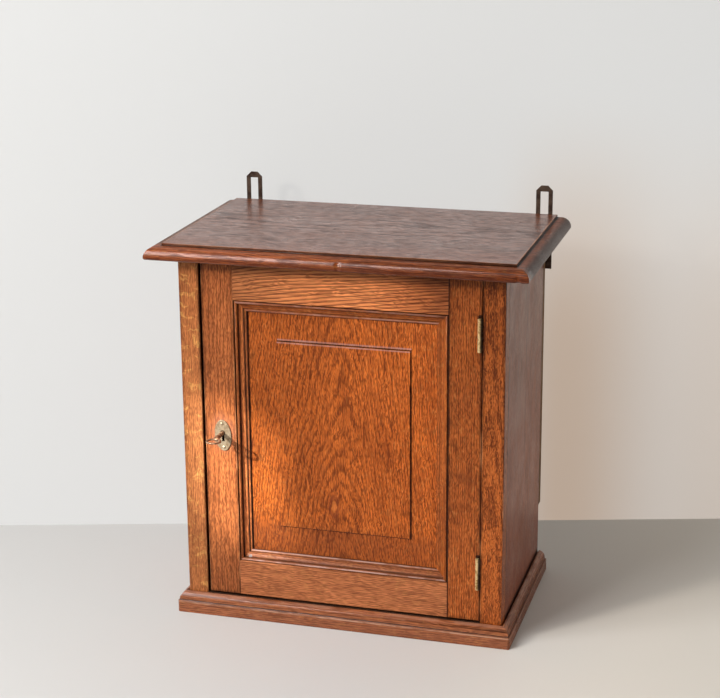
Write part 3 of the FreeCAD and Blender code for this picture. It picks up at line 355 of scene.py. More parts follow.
# %% [markdown]
# Oak shows its growth. Each year the trunk adds a ring, which starts with a band of wide pores, the
# early wood, and ends in dense late wood. A board is a slice through those rings: near the side of
# the trunk they come out as arches, and on a board cut towards the middle they come out as straight
# lines, crossed by shiny flecks where the wood's rays lie in the surface. This could be painted face
# by face. A solid pattern is truer: the group below works out the distance of a point from the
# middle of the trunk, and reads rings, pores and rays from that, so that every face and every cut
# end of a board agrees. All lengths in it are millimetres.

# %% Oak rings
def tint(red, green, blue):
    """A colour as a screen shows it, 0 to 255, turned into the light values that shaders use."""
    return (*((channel / 255) ** 2.2 for channel in (red, green, blue)), 1)


oak_figure, given, out = new_group(
    "oak_figure",
    dict(Place=(0, 0, 0), Ring=3.0, Taper=0.0, Sway=10.0, Ripple=2.0, Contrast=0.25, Drift=10.0, Curl=0.0,
         Dash=6.5, Pores=0.7, Reach=100.0, Rays=0.15, Mottle=1.0, Late=tint(190, 100, 45),
         Early=tint(150, 70, 30)),
    ("Colour", "Pore", "Height"),
)
place = given["Place"]
along, depth, across = split(place)


def waves(spread, detail=1.0, roughness=0.5):
    return calc("SUBTRACT", cloud(place, spread, detail, roughness), 0.5)


distance = calc("SQRT", calc("ADD", times(depth, depth), times(across, across)))
radius = calc("MULTIPLY_ADD", along, given["Taper"], distance)
radius = calc("MULTIPLY_ADD", waves((260, 60, 60)), given["Sway"], radius)
radius = calc("MULTIPLY_ADD", waves((34, 7, 7), 2.0, 0.55), given["Ripple"], radius)
year = calc("FRACT", calc("DIVIDE", radius, given["Ring"]))
spring_wood = most(fall(year, 0.08, 0.48), grade(year, 0.88, 1.0))
print("oak figure, rings:", len(oak_figure.nodes), "nodes")

# %% [markdown]
# Pores are fine tubes along the grain, which a cut board shows as dashes. Two stretched clouds give
# short and long ones, more of them in the spring wood, and a drift bends them a little. The rays run
# from the middle of the trunk outwards, so their flecks are laid out by angle and not by place.

# %% Oak pores and rays
PORE_WIDTH = 0.8

drift = times(waves((70, 24, 24)), given["Drift"])
drift = calc("MULTIPLY_ADD", waves((8, 6, 6)), given["Curl"], drift)
bent = [calc("DIVIDE", calc("ADD", way, drift), PORE_WIDTH) for way in (depth, across)]
grain = join(calc("DIVIDE", along, given["Dash"]), *bent)
short = calc("MULTIPLY_ADD", spring_wood, 0.13, cloud(grain, (0.8, 1, 1), 0.0))
elsewhere = vector_calc("ADD", grain, (7.3, 3.1, 1.7))
long = calc("MULTIPLY_ADD", spring_wood, 0.09, cloud(elsewhere, (2.8, 1.1, 1.1), 0.0))
pore = most(times(grade(short, 0.39, 0.78), 0.9), grade(long, 0.56, 0.72))
pore = times(pore, given["Pores"])

angle = calc("ARCTAN2", across, depth)
wander = calc("MULTIPLY_ADD", waves((16, 10, 10)), 22.0, along)
ray_place = join(wander, times(angle, given["Reach"]), distance)
fleck = grade(cloud(ray_place, (6.5, 1.8, 24), 2.0, 0.6), 0.53, 0.68)
fleck = times(fleck, given["Rays"])
print("oak figure, rings, pores and rays:", len(oak_figure.nodes), "nodes")

# %% [markdown]
# The tints come last. Late wood is the lighter of the two, early wood the darker, and both change a
# little from place to place. The pores hold old wax, which darkens the wood, and the flecks shine.

# %% Oak tints
FLECK = tint(222, 160, 90)
WAXED_PORE = (0.16, 0.10, 0.09, 1)

tone = calc("ADD", times(waves((120, 26, 26), 3.0, 0.6), 0.75), times(waves((24, 6, 6), 2.0), 0.35))
tone = calc("MULTIPLY_ADD", waves((50, 1.7, 1.7)), 0.4, tone)
tone = times(tone, given["Mottle"])
wood = blend(times(spring_wood, given["Contrast"]), given["Late"], given["Early"])
wood = stained_by(wood, join(*[calc("MULTIPLY_ADD", tone, swing, 1.0) for swing in (1.0, 1.2, 1.3)]))
wood = blend(fleck, wood, FLECK)
feed(out["Colour"], blend(pore, wood, WAXED_PORE, "MULTIPLY"))
feed(out["Pore"], pore)
feed(out["Height"], calc("SUBTRACT", times(fleck, 0.3), pore))
print("oak figure:", len(oak_figure.nodes), "nodes")

# %% [markdown]
# Hands, dusters and years of wax wear a board most at its arrises, the lines where two faces meet,
# and dirt gathers just beside them. On a board that is a plain box, the distance to the nearest
# arris needs no painted mask: of the three distances to its pairs of faces the smallest is zero on
# the surface, and the middle one is the distance to the arris. The group also tells how deep behind
# the front a point lies, and whether it lies on one of the narrow edges.

# %% Arris group
arris, given, out = new_group("arris", dict(Place=(0, 0, 0), Low=(0, 0, 0), High=(1, 1, 1)),
                              ("Depth", "Edge", "Worn", "Grime"))
from_low = vector_calc("SUBTRACT", given["Place"], given["Low"])
from_high = vector_calc("SUBTRACT", given["High"], given["Place"])
x, y, z = split(vector_calc("MINIMUM", from_low, from_high))
nearest = most(calc("MINIMUM", x, y), calc("MINIMUM", most(x, y), z))
scuffs = cloud(given["Place"], (14, 14, 14), 4.0, 0.65)
patches = cloud(given["Place"], (42, 42, 42), 2.0)
ragged = calc("MULTIPLY_ADD", calc("SUBTRACT", scuffs, 0.5), 3.2, nearest)
worn = times(fall(ragged, 0.2, 1.3), grade(patches, 0.42, 0.62))
grime = times(fall(ragged, 0.0, 4.5), grade(patches, 0.35, 0.65, 1.0, 0.35))
edge = fall(calc("MINIMUM", x, z), 0.8, 1.2)
for socket, value in zip(out, (split(from_low)[BACKWARD], edge, worn, grime)):
    feed(socket, value)
print("arris group:", len(arris.nodes), "nodes")

# %% [markdown]
# Every board was cut from another place in the tree, so the pattern is turned and shifted for each.
# A Mapping node does both: it turns the board's length into the way of the grain, and it moves the
# pith, the middle of the trunk, to its place beside the board. That place is given by two distances
# in millimetres, across the grain.

# %% Grain and pith
GRAIN_TURN = {"upright": (0, math.radians(90), 0), "across": (0, 0, 0), "deep": (0, 0, math.radians(-90))}


def millimetres(tree, turn=(0, 0, 0), shift=(0, 0, 0)):
    mapping = tree.nodes.new("ShaderNodeMapping")
    feed(mapping.inputs["Scale"], (1000, 1000, 1000))
    feed(mapping.inputs["Rotation"], turn)
    feed(mapping.inputs["Location"], shift)
    tree.links.new(tree.nodes.new("ShaderNodeTexCoord").outputs["Object"], mapping.inputs["Vector"])
    return mapping.outputs[0]


def pith_shift(grain, pith, slide):
    first, second = pith
    if grain == "upright":
        return (slide, -second, first)
    if grain == "across":
        return (slide, -first, -second)
    return (slide, first, -second)


def in_mm(corner):
    return tuple(1000 * v for v in corner)


print("ways of the grain:", *GRAIN_TURN)

# %% [markdown]
# Every board gets a material of its own. The function takes the way the grain runs, where the pith
# lay and the two tints, and any value of the oak figure by its name. It adds wear, grime and a satin
# wax finish. Where asked, it also adds painted shade on the edges that face the gaps round the door,
# and a painted shadow under the overhang of the top. Sides of a board that nobody sees were left bare:
# there the tints turn to plain dry oak, and the marks and the wax stay away. Marks that only one
# board has are added by a small function that is handed in with it. The Principled shader stays in
# the material itself.

# %% Oak material
WORN_OAK, WORN_SHARE = tint(206, 142, 96), 0.5
# A dark brown for real grime, and also for painted shade in gaps, grooves and corners.
GRIME_AND_SHADE, GRIME_SHARE = tint(38, 20, 13), 0.55
PLAIN = tint(176, 132, 88), tint(150, 106, 66)
OUTER_FACE = 190
# Heights in millimetres of the painted shadow under the overhang of the top, from none to full.
EAVES_SHADE_SPAN = (438, 459)
GRAIN_BUMP, GRAIN_HEIGHT = 0.5, 0.4 * MM


def roughen(shader, height, strength, deepest):
    """Lets a height tilt the light on a surface, as pores and pits do."""
    bump = shader.id_data.nodes.new("ShaderNodeBump")
    feed(bump.inputs["Strength"], strength)
    feed(bump.inputs["Distance"], deepest)
    feed(bump.inputs["Height"], height)
    feed(shader.inputs["Normal"], bump.outputs[0])


def oak(name, grain, pith, tints, slide=0.0, box=None, gap=0.0, satin=0.36, shine=0.18, coat=0.05,
        coat_haze=0.24, eaves_shade=0.0, marks=None, bare=None, **figure):
    material, tree, shader = new_material(name)
    place = millimetres(tree)
    if bare:
        dry = bare(place)
        tints = [blend(dry, *pair) for pair in zip(tints, PLAIN)]
    wood = use_group(tree, oak_figure, late=tints[0], early=tints[1],
                     place=millimetres(tree, GRAIN_TURN[grain], pith_shift(grain, pith, slide)), **figure)
    colour = wood["Colour"]
    if box:
        edges = use_group(tree, arris, place=place, low=in_mm(box[0]), high=in_mm(box[1]))
        colour = blend(times(edges["Grime"], GRIME_SHARE), colour, GRIME_AND_SHADE)
        colour = blend(times(edges["Worn"], WORN_SHARE), colour, WORN_OAK)
        # Painted shade: the narrow edges that face the gaps round the door darken, more so deeper behind the
        # front.
        if gap:
            inside = calc("LESS_THAN", calc("ABSOLUTE", split(place)[SIDEWAYS]), OUTER_FACE)
            deep = grade(edges["Depth"], 0.8, 4.0, 0.0, gap)
            colour = blend(times(inside, deep, edges["Edge"]), colour, GRIME_AND_SHADE)
    if marks:
        colour = marks(place, colour)
    # Painted shadow: the board darkens towards the underside of the top's overhang.
    if eaves_shade:
        colour = blend(grade(split(place)[UP], *EAVES_SHADE_SPAN, 0.0, eaves_shade), colour, GRIME_AND_SHADE)
    if bare:
        colour = blend(dry, colour, wood["Colour"])
    feed(shader.inputs["Base Color"], colour)
    hazy = grade(cloud(place, (60, 60, 60), 4.0, 0.6), 0.3, 0.7, satin - 0.05, satin + 0.09)
    feed(shader.inputs["Roughness"], calc("MULTIPLY_ADD", wood["Pore"], 0.12, hazy))
    feed(shader.inputs["Specular IOR Level"], shine)
    if coat:
        waxed = calc("MULTIPLY_ADD", wood["Pore"], -0.9, 1.0)
        if bare:
            waxed = times(waxed, calc("SUBTRACT", 1.0, dry))
        feed(shader.inputs["Coat Weight"], times(waxed, coat(place) if callable(coat) else coat))
        feed(shader.inputs["Coat Roughness"], coat_haze)
    roughen(shader, wood["Height"], GRAIN_BUMP, GRAIN_HEIGHT)
    return material


print("oak material ready")

# %% [markdown]
# Marks are small sums on a point's place: a line of dirt, a line of painted shade, an oval blot,
# painted light that grows from one end to the other. Masks for the bare sides and for the wax are made
# in the same way. They read the places of the faces from the frame.

# %% Marks and masks
SIDE_INNER, SIDE_OUTER = (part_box("right_side")[i][0] * 1000 for i in (0, 1))


def line(value, centre, half):
    """A mask that is 1 on a line and fades to 0 at half its width, all in millimetres."""
    return fall(calc("ABSOLUTE", calc("SUBTRACT", value, centre)), half * 0.35, half)


def oval_distance(place, centre, size):
    """How far a point on a board's front is from the centre of an oval: 1 on its rim."""
    x, _, z = split(place)
    wide = calc("DIVIDE", calc("SUBTRACT", x, centre[0]), size[0])
    tall = calc("DIVIDE", calc("SUBTRACT", z, centre[1]), size[1])
    return calc("SQRT", calc("MULTIPLY_ADD", wide, wide, times(tall, tall)))


def blot(place, centre, size, strength, core=0.6):
    return fall(oval_distance(place, centre, size), core, 1.1, strength)


def brightened(colour, amount):
    return stained_by(colour, join(amount, amount, amount))


def painted_light_along(axis, start, stop, first, last):
    """A mark for painted light and shade: it scales the colour along an axis, first to last."""
    def marks(place, colour):
        return brightened(colour, grade(split(place)[axis], start, stop, first, last))
    return marks


def bare_behind(node):
    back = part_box(node)[1][1] * 1000

    def mask(place):
        return grade(split(place)[BACKWARD], back - 1.2, back - 0.6)
    return mask


def bare_within(place):
    outward = calc("ABSOLUTE", split(place)[SIDEWAYS])
    return fall(outward, SIDE_INNER + 0.6, SIDE_INNER + 1.2)


def waxed_outside(place):
    outward = calc("ABSOLUTE", split(place)[SIDEWAYS])
    return grade(outward, SIDE_OUTER - 1.5, SIDE_OUTER - 0.5, 0.05, 0.5)


print("faces of the sides:", round(SIDE_INNER, 1), round(SIDE_OUTER, 1))

# %% [markdown]
# A board from the saw has sharp arrises, and no old board keeps them. Each visible board is a merged
# copy of its CAD solid with its long arrises bevelled, so that they catch the light. The flat faces
# stay flat, which the weighted normals see to. Where two pieces meet flush, the arris gets only a
# fine bevel, which shows as the joint. A helper copies a node, another bevels it, and a third makes
# the object, hangs it on its body and lets it stand for the node.

# %% Board helpers
JOINT_BEVEL = 0.2 * MM


def copy_of(node):
    bm = bmesh.new()
    bm.from_mesh(NODES[node].data)
    bmesh.ops.remove_doubles(bm, verts=bm.verts, dist=1e-6)
    bmesh.ops.dissolve_limit(bm, angle_limit=math.radians(0.6), verts=bm.verts, edges=bm.edges)
    return bm


def soften(bm, width, where=None, shortest=0.012, sharpest=30.0):
    arrises = [e for e in bm.edges if e.is_manifold and e.calc_length() > shortest
               and e.calc_face_angle() > math.radians(sharpest) and (where is None or where(e))]
    bmesh.ops.bevel(bm, geom=arrises, offset=width, offset_type="OFFSET", segments=2, profile=0.5,
                    affect="EDGES", clamp_overlap=False, material=-1)


def dress(node, bm, *materials, smooth_below=38.0):
    name = f"{node}_dressed"
    data = bpy.data.meshes.new(name)
    bm.to_mesh(data)
    bm.free()
    data.polygons.foreach_set("use_smooth", [True] * len(data.polygons))
    data.set_sharp_from_angle(angle=math.radians(smooth_below))
    for material in materials:
        data.materials.append(material)
    piece = bpy.data.objects.new(name, data)
    scene.collection.objects.link(piece)
    piece.modifiers.new("even_faces", "WEIGHTED_NORMAL").keep_sharp = True
    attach(piece, BODY_OF[node])
    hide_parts(node)
    print(node, "faces:", len(data.polygons))


def board(node, material, width=0.8 * MM, joint=None, **rules):
    bm = copy_of(node)
    if joint:
        soften(bm, JOINT_BEVEL, joint, **rules)
        soften(bm, width, lambda e: not joint(e), **rules)
    else:
        soften(bm, width, **rules)
    dress(node, bm, material)


def slice_at(bm, axis, places):
    """Cuts the mesh across one axis at each place, so that the strip between can be shaped."""
    normal = Vector([float(i == axis) for i in range(3)])
    for place in places:
        everything = [*bm.verts, *bm.edges, *bm.faces]
        bmesh.ops.bisect_plane(bm, geom=everything, plane_co=normal * place, plane_no=normal)


print("board helpers ready")

# %% [markdown]
# The tints of the polished boards, late wood first and early wood second. They are one finish on
# boards from several trees, so they are all between gold and chestnut.

# %% Oak colours
ORANGE = tint(194, 99, 40), tint(150, 72, 30)
RUST = tint(178, 94, 43), tint(138, 69, 32)
RED = tint(184, 104, 58), tint(142, 76, 42)
GOLD = tint(190, 116, 68), tint(154, 88, 50)
AMBER = tint(230, 142, 86), tint(136, 72, 48)
DULL = tint(200, 122, 78), tint(164, 94, 59)
BROWN = tint(162, 78, 36), tint(126, 58, 28)
CHESTNUT = tint(152, 78, 38), tint(120, 58, 30)
UMBER = tint(168, 98, 62), tint(134, 76, 48)
print("amber late wood:", [round(v, 3) for v in AMBER[0]])

# %% [markdown]
# The case comes first. The left face stile was cut towards the middle of the trunk, so it is golden
# and shows wavy flecks. The right one is curly, and its outer arris has been knocked near the foot.
# That arris is sliced every few millimetres and the points on it are pushed in by a smooth noise.

# %% Face stiles
KNOCKED_FROM, KNOCKED_TO, KNOCK_FADE = 0.03, 0.16, 0.06
KNOCK_SLICE, KNOCK_SLICES = 0.005, 26
KNOCK_DEPTH, KNOCKS_PER_METRE, KNOCK_BIAS = 2.4 * MM, 90, 0.25
ARRIS_REACH = 1.5 * MM

# Painted light: the left stile grows lighter towards the top.
board("left_face_stile",
      oak("left_stile_oak", "upright", (-372, -92), GOLD, ring=2.2, reach=150, rays=0.7, sway=6, pores=0.6,
          box=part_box("left_face_stile"), gap=0.95, eaves_shade=0.35, bare=bare_behind("left_face_stile"),
          coat=waxed_outside, marks=painted_light_along(UP, 40, 440, 1.0, 1.2)))

stile_low, stile_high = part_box("right_face_stile")
right_stile = copy_of("right_face_stile")
soften(right_stile, 0.8 * MM)
slice_at(right_stile, UP, [KNOCKED_FROM + KNOCK_SLICE * i for i in range(KNOCK_SLICES)])
for vert in right_stile.verts:
    x, y, z = vert.co
    if x > stile_high[0] - ARRIS_REACH and y < stile_low[1] + ARRIS_REACH and z < KNOCKED_TO:
        fade_and_sheen = min(1.0, (KNOCKED_TO - z) / KNOCK_FADE)
        rough = max(0.0, noise.noise(Vector((0, 0, z * KNOCKS_PER_METRE))) + KNOCK_BIAS)
        knock = rough * KNOCK_DEPTH * fade_and_sheen
        vert.co += Vector((-knock, knock, 0))
# Painted light: the right stile is lighter at its foot and darker towards the top.
dress("right_face_stile", right_stile,
      oak("right_stile_oak", "upright", (178, -70), RUST, ring=3.4, sway=12, ripple=4, pores=0.85,
          mottle=0.7, curl=3, taper=0.03, box=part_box("right_face_stile"), gap=0.9, eaves_shade=0.5,
          coat=waxed_outside, bare=bare_behind("right_face_stile"), marks=painted_light_along(UP, 40, 440, 1.35, 0.95)))

# %% [markdown]
# The sides are plain boards with upright grain, browner than the front and painted darker towards the
# top as shade. Where they stand behind the plinth, a band of painted shade lies in the corner between
# the two. Inside the case they are bare.

# %% Sides
FOOT_SHADE = (27, 33)


def side_marks(place, colour):
    # Painted shade: darker towards the top, and a dark band at the foot beside the plinth.
    colour = painted_light_along(UP, 120, 400, 1.0, 0.68)(place, colour)
    return blend(fall(split(place)[UP], *FOOT_SHADE, 0.9), colour, GRIME_AND_SHADE)


for side, sign in (("left", -1), ("right", 1)):
    board(f"{side}_side",
          oak(f"{side}_side_oak", "upright", (150 * sign, 40), BROWN, ring=3.2, sway=14, ripple=3,
              taper=0.02, pores=0.5, box=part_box(f"{side}_side"), shine=0.25, coat=0.36, bare=bare_within,
              marks=side_marks))

# %% [markdown]
# The door frame is joined from two stiles and two rails. On the lock stile the wax round the keyhole
# has been rubbed thin by fingers and the key and has gone pinkish, the hole itself is painted black as
# the shade inside it, and the stile is painted darker towards its foot. On the hinge stile oil from the
# hinges has left a dark blot above each of them, there is a brown blot half way up, and painted light
# makes the stile lighter at its foot and darker at its top. Where a stile meets a rail, the fine bevel
# draws the joint.

# %% Door stiles
MOULDED = {side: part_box(f"panel_moulding_{side}") for side in ("left", "right", "bottom", "top")}
FRAME_LEFT, FRAME_RIGHT = MOULDED["left"][0][0] * 1000, MOULDED["right"][1][0] * 1000
FRAME_FOOT, FRAME_TOP = MOULDED["bottom"][0][2] * 1000, MOULDED["top"][1][2] * 1000
HINGES = [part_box(f"{level}_hinge_pin") for level in ("upper", "lower")]
HINGE_AXIS = 500 * (HINGES[0][0][0] + HINGES[0][1][0])
BROWN_BLOTS, BROWN_BLOT_SIZE, BLOT_BROWN = ((146, 212), (156, 206)), (14, 10), tint(110, 56, 30)
RUBBED, KEYHOLE_SHADE = tint(200, 130, 102), tint(16, 10, 8)
LOCK_CENTRE = (KEY_AXIS.x * 1000, KEY_AXIS.z * 1000)


def frame_joint(edge):
    across = 500 * (edge.verts[0].co.x + edge.verts[1].co.x)
    return any(abs(across - x) < 0.1 for x in (FRAME_LEFT, FRAME_RIGHT))


def rubbed_and_shaded_round_key(place, colour):
    # Painted shade: the lock stile darkens towards its foot.
    colour = painted_light_along(UP, 30, 110, 0.84, 1.0)(place, colour)
    away = oval_distance(place, LOCK_CENTRE, (1, 1 / math.sqrt(0.45)))
    ragged = calc("MULTIPLY_ADD", cloud(place, (12, 12, 12), 4.0, 0.65), 16.0, away)
    colour = blend(fall(ragged, 16, 30, 0.28), colour, RUBBED)
    # The keyhole is painted black as the shade inside the hole.
    return blend(blot(place, LOCK_CENTRE, (9, 17), 1.0), colour, KEYHOLE_SHADE)


def stained_and_shaded_hinge_stile(place, colour):
    # Painted light: the hinge stile is lighter at its foot and darker at its top.
    colour = painted_light_along(UP, 40, 440, 1.2, 0.88)(place, colour)
    for _, high in HINGES:
        oil = blot(place, (HINGE_AXIS, 1000 * high[2] + 2.0), (3.4, 3.0), 0.95)
        colour = blend(oil, colour, GRIME_AND_SHADE)
    for centre in BROWN_BLOTS:
        colour = blend(blot(place, centre, BROWN_BLOT_SIZE, 0.5, core=0.0), colour, BLOT_BROWN)
    joint = line(split(place)[SIDEWAYS], FRAME_RIGHT + 0.5, 1.3)
    return blend(times(joint, 0.9), colour, GRIME_AND_SHADE)


board("door_lock_stile",
      oak("lock_stile_oak", "upright", (-190, -40), RED, ring=2.8, sway=10, ripple=4, pores=0.7, slide=300,
          box=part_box("door_lock_stile"), gap=0.95, eaves_shade=0.55, marks=rubbed_and_shaded_round_key,
          bare=bare_behind("door_lock_stile")), joint=frame_joint)
board("door_hinge_stile",
      oak("hinge_stile_oak", "upright", (240, -60), RUST, ring=2.6, sway=9, ripple=3, pores=0.75, slide=700,
          box=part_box("door_hinge_stile"), gap=0.9, eaves_shade=0.5, marks=stained_and_shaded_hinge_stile,
          bare=bare_behind("door_hinge_stile")), joint=frame_joint)

# %% [markdown]
# The upper rail shows long slanting rings. Painted light makes it lighter in the middle and darker at
# its ends, and its right end is redder. The lower rail is straight grained and duller.

# %% Door rails
REDDER = (1, 0.84, 0.74, 1)


def painted_light_on_rail(place, colour):
    # Painted light: lighter in the middle of the rail, darker towards both ends.
    colour = painted_light_along(SIDEWAYS, FRAME_LEFT, -30, 0.72, 1.24)(place, colour)
    colour = painted_light_along(SIDEWAYS, 40, FRAME_RIGHT, 1.0, 0.42)(place, colour)
    to_right = grade(split(place)[SIDEWAYS], 20, FRAME_RIGHT)
    return blend(to_right, colour, stained_by(colour, REDDER))


board("door_top_rail",
      oak("top_rail_oak", "across", (-60, 320), AMBER, ring=4.2, taper=-0.12, sway=38, ripple=1.6,
          contrast=0.7, dash=50, drift=16, pores=0.62, slide=120, eaves_shade=0.85, marks=painted_light_on_rail,
          bare=bare_behind("door_top_rail")), joint=frame_joint)
board("door_bottom_rail",
      oak("bottom_rail_oak", "across", (-120, -60), DULL, ring=2.4, sway=8, dash=12, pores=0.65,
          bare=bare_behind("door_bottom_rail")), joint=frame_joint)

# %% [markdown]
# The panel is one wide board cut from the side of the trunk, so its rings run up as jagged arches
# over a small eye. Its raised field has a low step all round. The foot of that step is painted dark as
# shade, apart from the left side, and the arris above it carries a pale painted highlight at the top.
# Painted light makes the panel darker to the left and lighter to the right, and it is darker towards
# the foot of the field.

# %% Door panel
FIELD_INSET, FIELD_SHIFT = 49.5, 2.2
MOULDING_WIDTH = 14.8
FIELD_LEFT, FIELD_FOOT = FRAME_LEFT + FIELD_INSET + FIELD_SHIFT, FRAME_FOOT + FIELD_INSET
FIELD_RIGHT, FIELD_TOP = FRAME_RIGHT - FIELD_INSET + FIELD_SHIFT, FRAME_TOP - FIELD_INSET
EYE, EYE_SIZE = (-10.4, 154), (4.2, 9.5)
EYE_RIM, EYE_HEART = tint(104, 46, 30), tint(212, 122, 60)
DARK_FOOT, STEP_HIGHLIGHT = tint(96, 50, 32), tint(186, 150, 146)


def between(value, low, high):
    return times(calc("GREATER_THAN", value, low), calc("LESS_THAN", value, high))


def eye_marks(place, colour):
    away = calc("SUBTRACT", oval_distance(place, EYE, EYE_SIZE), 0.4)
    away = calc("MULTIPLY_ADD", cloud(place, (5, 5, 5), 2.0), 0.8, away)
    colour = blend(times(line(away, 1.25, 0.6), 0.5), colour, EYE_RIM)
    return blend(fall(away, 0.5, 0.95, 0.5), colour, EYE_HEART)


def panel_marks(place, colour):
    x, _, z = split(place)
    uneven = cloud(place, (18, 18, 18), 3.0)
    wide = between(x, FIELD_LEFT, FIELD_RIGHT + 1)
    tall = between(z, FIELD_FOOT - 1, FIELD_TOP + 1)
    # Painted light: darker to the left, lighter to the right.
    colour = painted_light_along(SIDEWAYS, -130, 120, 0.88, 1.2)(place, colour)
    colour = blend(fall(z, FIELD_FOOT - 8, FIELD_FOOT + 12, 0.35), colour, DARK_FOOT)
    colour = eye_marks(place, colour)
    # A pale painted highlight on the arris above the step at the top.
    beside = most(line(z, FIELD_TOP + 1.9, 1.5), line(z, FIELD_TOP - 1.2, 1.1))
    rubbed_and_lit = times(beside, wide, grade(uneven, 0.3, 0.6, 0.6, 0.35))
    colour = blend(rubbed_and_lit, colour, STEP_HIGHLIGHT)
    # Painted shade at the foot of the step, beside the field at the right and where the panel meets the
    # moulding.
    level = most(line(z, FIELD_FOOT - 0.4, 1.15), line(z, FIELD_TOP + 0.4, 0.75))
    painted_shade = most(times(level, wide),
                times(line(x, FIELD_RIGHT + 0.6, 1.3), tall),
                line(x, FRAME_LEFT + MOULDING_WIDTH + 0.6, 1.5),
                times(line(z, FRAME_TOP - MOULDING_WIDTH - 0.4, 1.1), 0.6))
    return blend(times(painted_shade, grade(uneven, 0.3, 0.6, 0.6, 1.0)), colour, GRIME_AND_SHADE)


board("door_panel",
      oak("panel_oak", "upright", (-8, -46), ORANGE, ring=3.2, taper=0.11, sway=24, ripple=4, contrast=0.24,
          drift=14, curl=1, pores=0.78, mottle=1.1, slide=80, marks=panel_marks,
          bare=bare_behind("door_panel")), width=0.5 * MM)

# %% [markdown]
# The moulding round the panel is a strip planed with a bead and a cove and mitred at the corners.
# Its quirks, the narrow grooves, are painted black as shade, which draws fine lines round the panel.
# The cove of the left strip is painted lighter, lifting its shade. The crests of the top strip and of
# the strip at the foot carry a pale painted highlight, strongest at the foot, and there is a spot of
# putty in the left corner of the foot strip.

# %% Panel moulding
QUIRKS = (0.8, 4.9, 11.1, 14.9)
CRESTS = ((2.8, 1.4), (13.3, 1.2))
COVE_RISE, COVE_FALL = (5.2, 6.4), (7.4, 9.8)
MOULDING_CREST_HIGHLIGHT = tint(190, 150, 138)
PUTTY_PLACE, PUTTY = (-119.5, -99.0, 77.5), tint(150, 140, 136)
UPRIGHT_STRIP, LEVEL_STRIP = ("upright", (-190, -60), SIDEWAYS), ("across", (-60, 300), UP)
# The painted shade in the four quirks of each strip: half its width, and how black it is.
QUIRK_SHADE = {
    "left": ((1.2, 1.0), (0.8, 1.0), (1.3, 1.0), (1.4, 1.0)),
    "right": ((1.2, 0.8), (0.8, 0.3), (0.8, 0.25), (0.9, 0.4)),
    "top": ((1.3, 0.9), (1.2, 1.0), (0.9, 0.5), (1.1, 0.6)),
    "bottom": ((1.1, 0.7), (0.9, 0.7), (0.8, 0.5), (1.0, 0.7)),
}
# Each strip: its grain, pith and axis, its outer edge, the way in from it, its tints, how strong the
# painted highlight on its crests is and how much painted light lifts its cove.
STRIPS = {
    "left": (UPRIGHT_STRIP, FRAME_LEFT, 1.0, RED, 0.0, 0.9),
    "right": (UPRIGHT_STRIP, FRAME_RIGHT, -1.0, RUST, 0.0, 0.0),
    "top": (LEVEL_STRIP, FRAME_TOP, -1.0, RUST, 0.5, 0.0),
    "bottom": (LEVEL_STRIP, FRAME_FOOT, 1.0, UMBER, 0.95, 0.0),
}


def moulding_marks(axis, edge, inward, painted_shade, crest_lighting, cove_light):
    def marks(place, colour):
        across = times(calc("SUBTRACT", split(place)[axis], edge), inward)
        uneven = cloud(place, (22, 22, 22), 3.0)
        # A pale painted highlight on the crests.
        if crest_lighting:
            crest = most(*[line(across, *spot) for spot in CRESTS])
            rubbed_and_lit = times(crest, grade(uneven, 0.4, 0.6, 0.3 * crest_lighting, crest_lighting))
            colour = blend(rubbed_and_lit, colour, MOULDING_CREST_HIGHLIGHT)
        # Painted light lifts the shaded cove.
        if cove_light:
            cove = times(grade(across, *COVE_RISE), fall(across, *COVE_FALL))
            colour = brightened(colour, calc("MULTIPLY_ADD", cove, cove_light, 1.0))
        # Painted shade in the quirks.
        for centre, (half, strength) in zip(QUIRKS, painted_shade):
            black = grade(uneven, 0.3, 0.7, strength, 0.75 * strength)
            colour = blend(times(line(across, centre, half), black), colour, GRIME_AND_SHADE)
        from_putty = vector_calc("DISTANCE", place, PUTTY_PLACE, result="Value")
        return blend(fall(from_putty, 1.6, 3.2, 0.8), colour, PUTTY)
    return marks


for side, ((grain, pith, axis), edge, inward, tints, crest_lighting, cove_light) in STRIPS.items():
    marks = moulding_marks(axis, edge, inward, QUIRK_SHADE[side], crest_lighting, cove_light)
    board(f"panel_moulding_{side}",
          oak(f"moulding_{side}_oak", grain, pith, tints, ring=2.6, sway=8, ripple=3, pores=0.6, shine=0.2,
              marks=marks), width=0.25 * MM, sharpest=40)

# %% [markdown]
# The top board has a moulded nose. Its flat has faded to a greyish brown, which also stands in for the
# grey sheen it shows, most of all towards the rear. The step behind the nose holds a painted line of
# shade with a rubbed arris above it, the underside of the nose is painted darker as shade, and the end
# grain is darker. The left end is greyed like the flat, faded with a painted sheen, while the front of
# the nose is waxed and keeps its red, and painted light makes it lighter to the left and darker to the
# right.

# %% Top board marks
TOP_LOW, TOP_HIGH = (in_mm(corner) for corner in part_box("top_board"))
TOP_FRONT, TOP_UNDER = TOP_LOW[1], TOP_LOW[2]
STEP = 17.5
FADED_AND_SHEEN, END_FADED_AND_SHEEN = (0.80, 0.84, 0.86, 1), (0.42, 0.55, 0.62, 1)
NOSE_SHADE, END_GRAIN, RUBBED_ARRIS = tint(84, 40, 26), tint(62, 38, 26), tint(196, 128, 88)


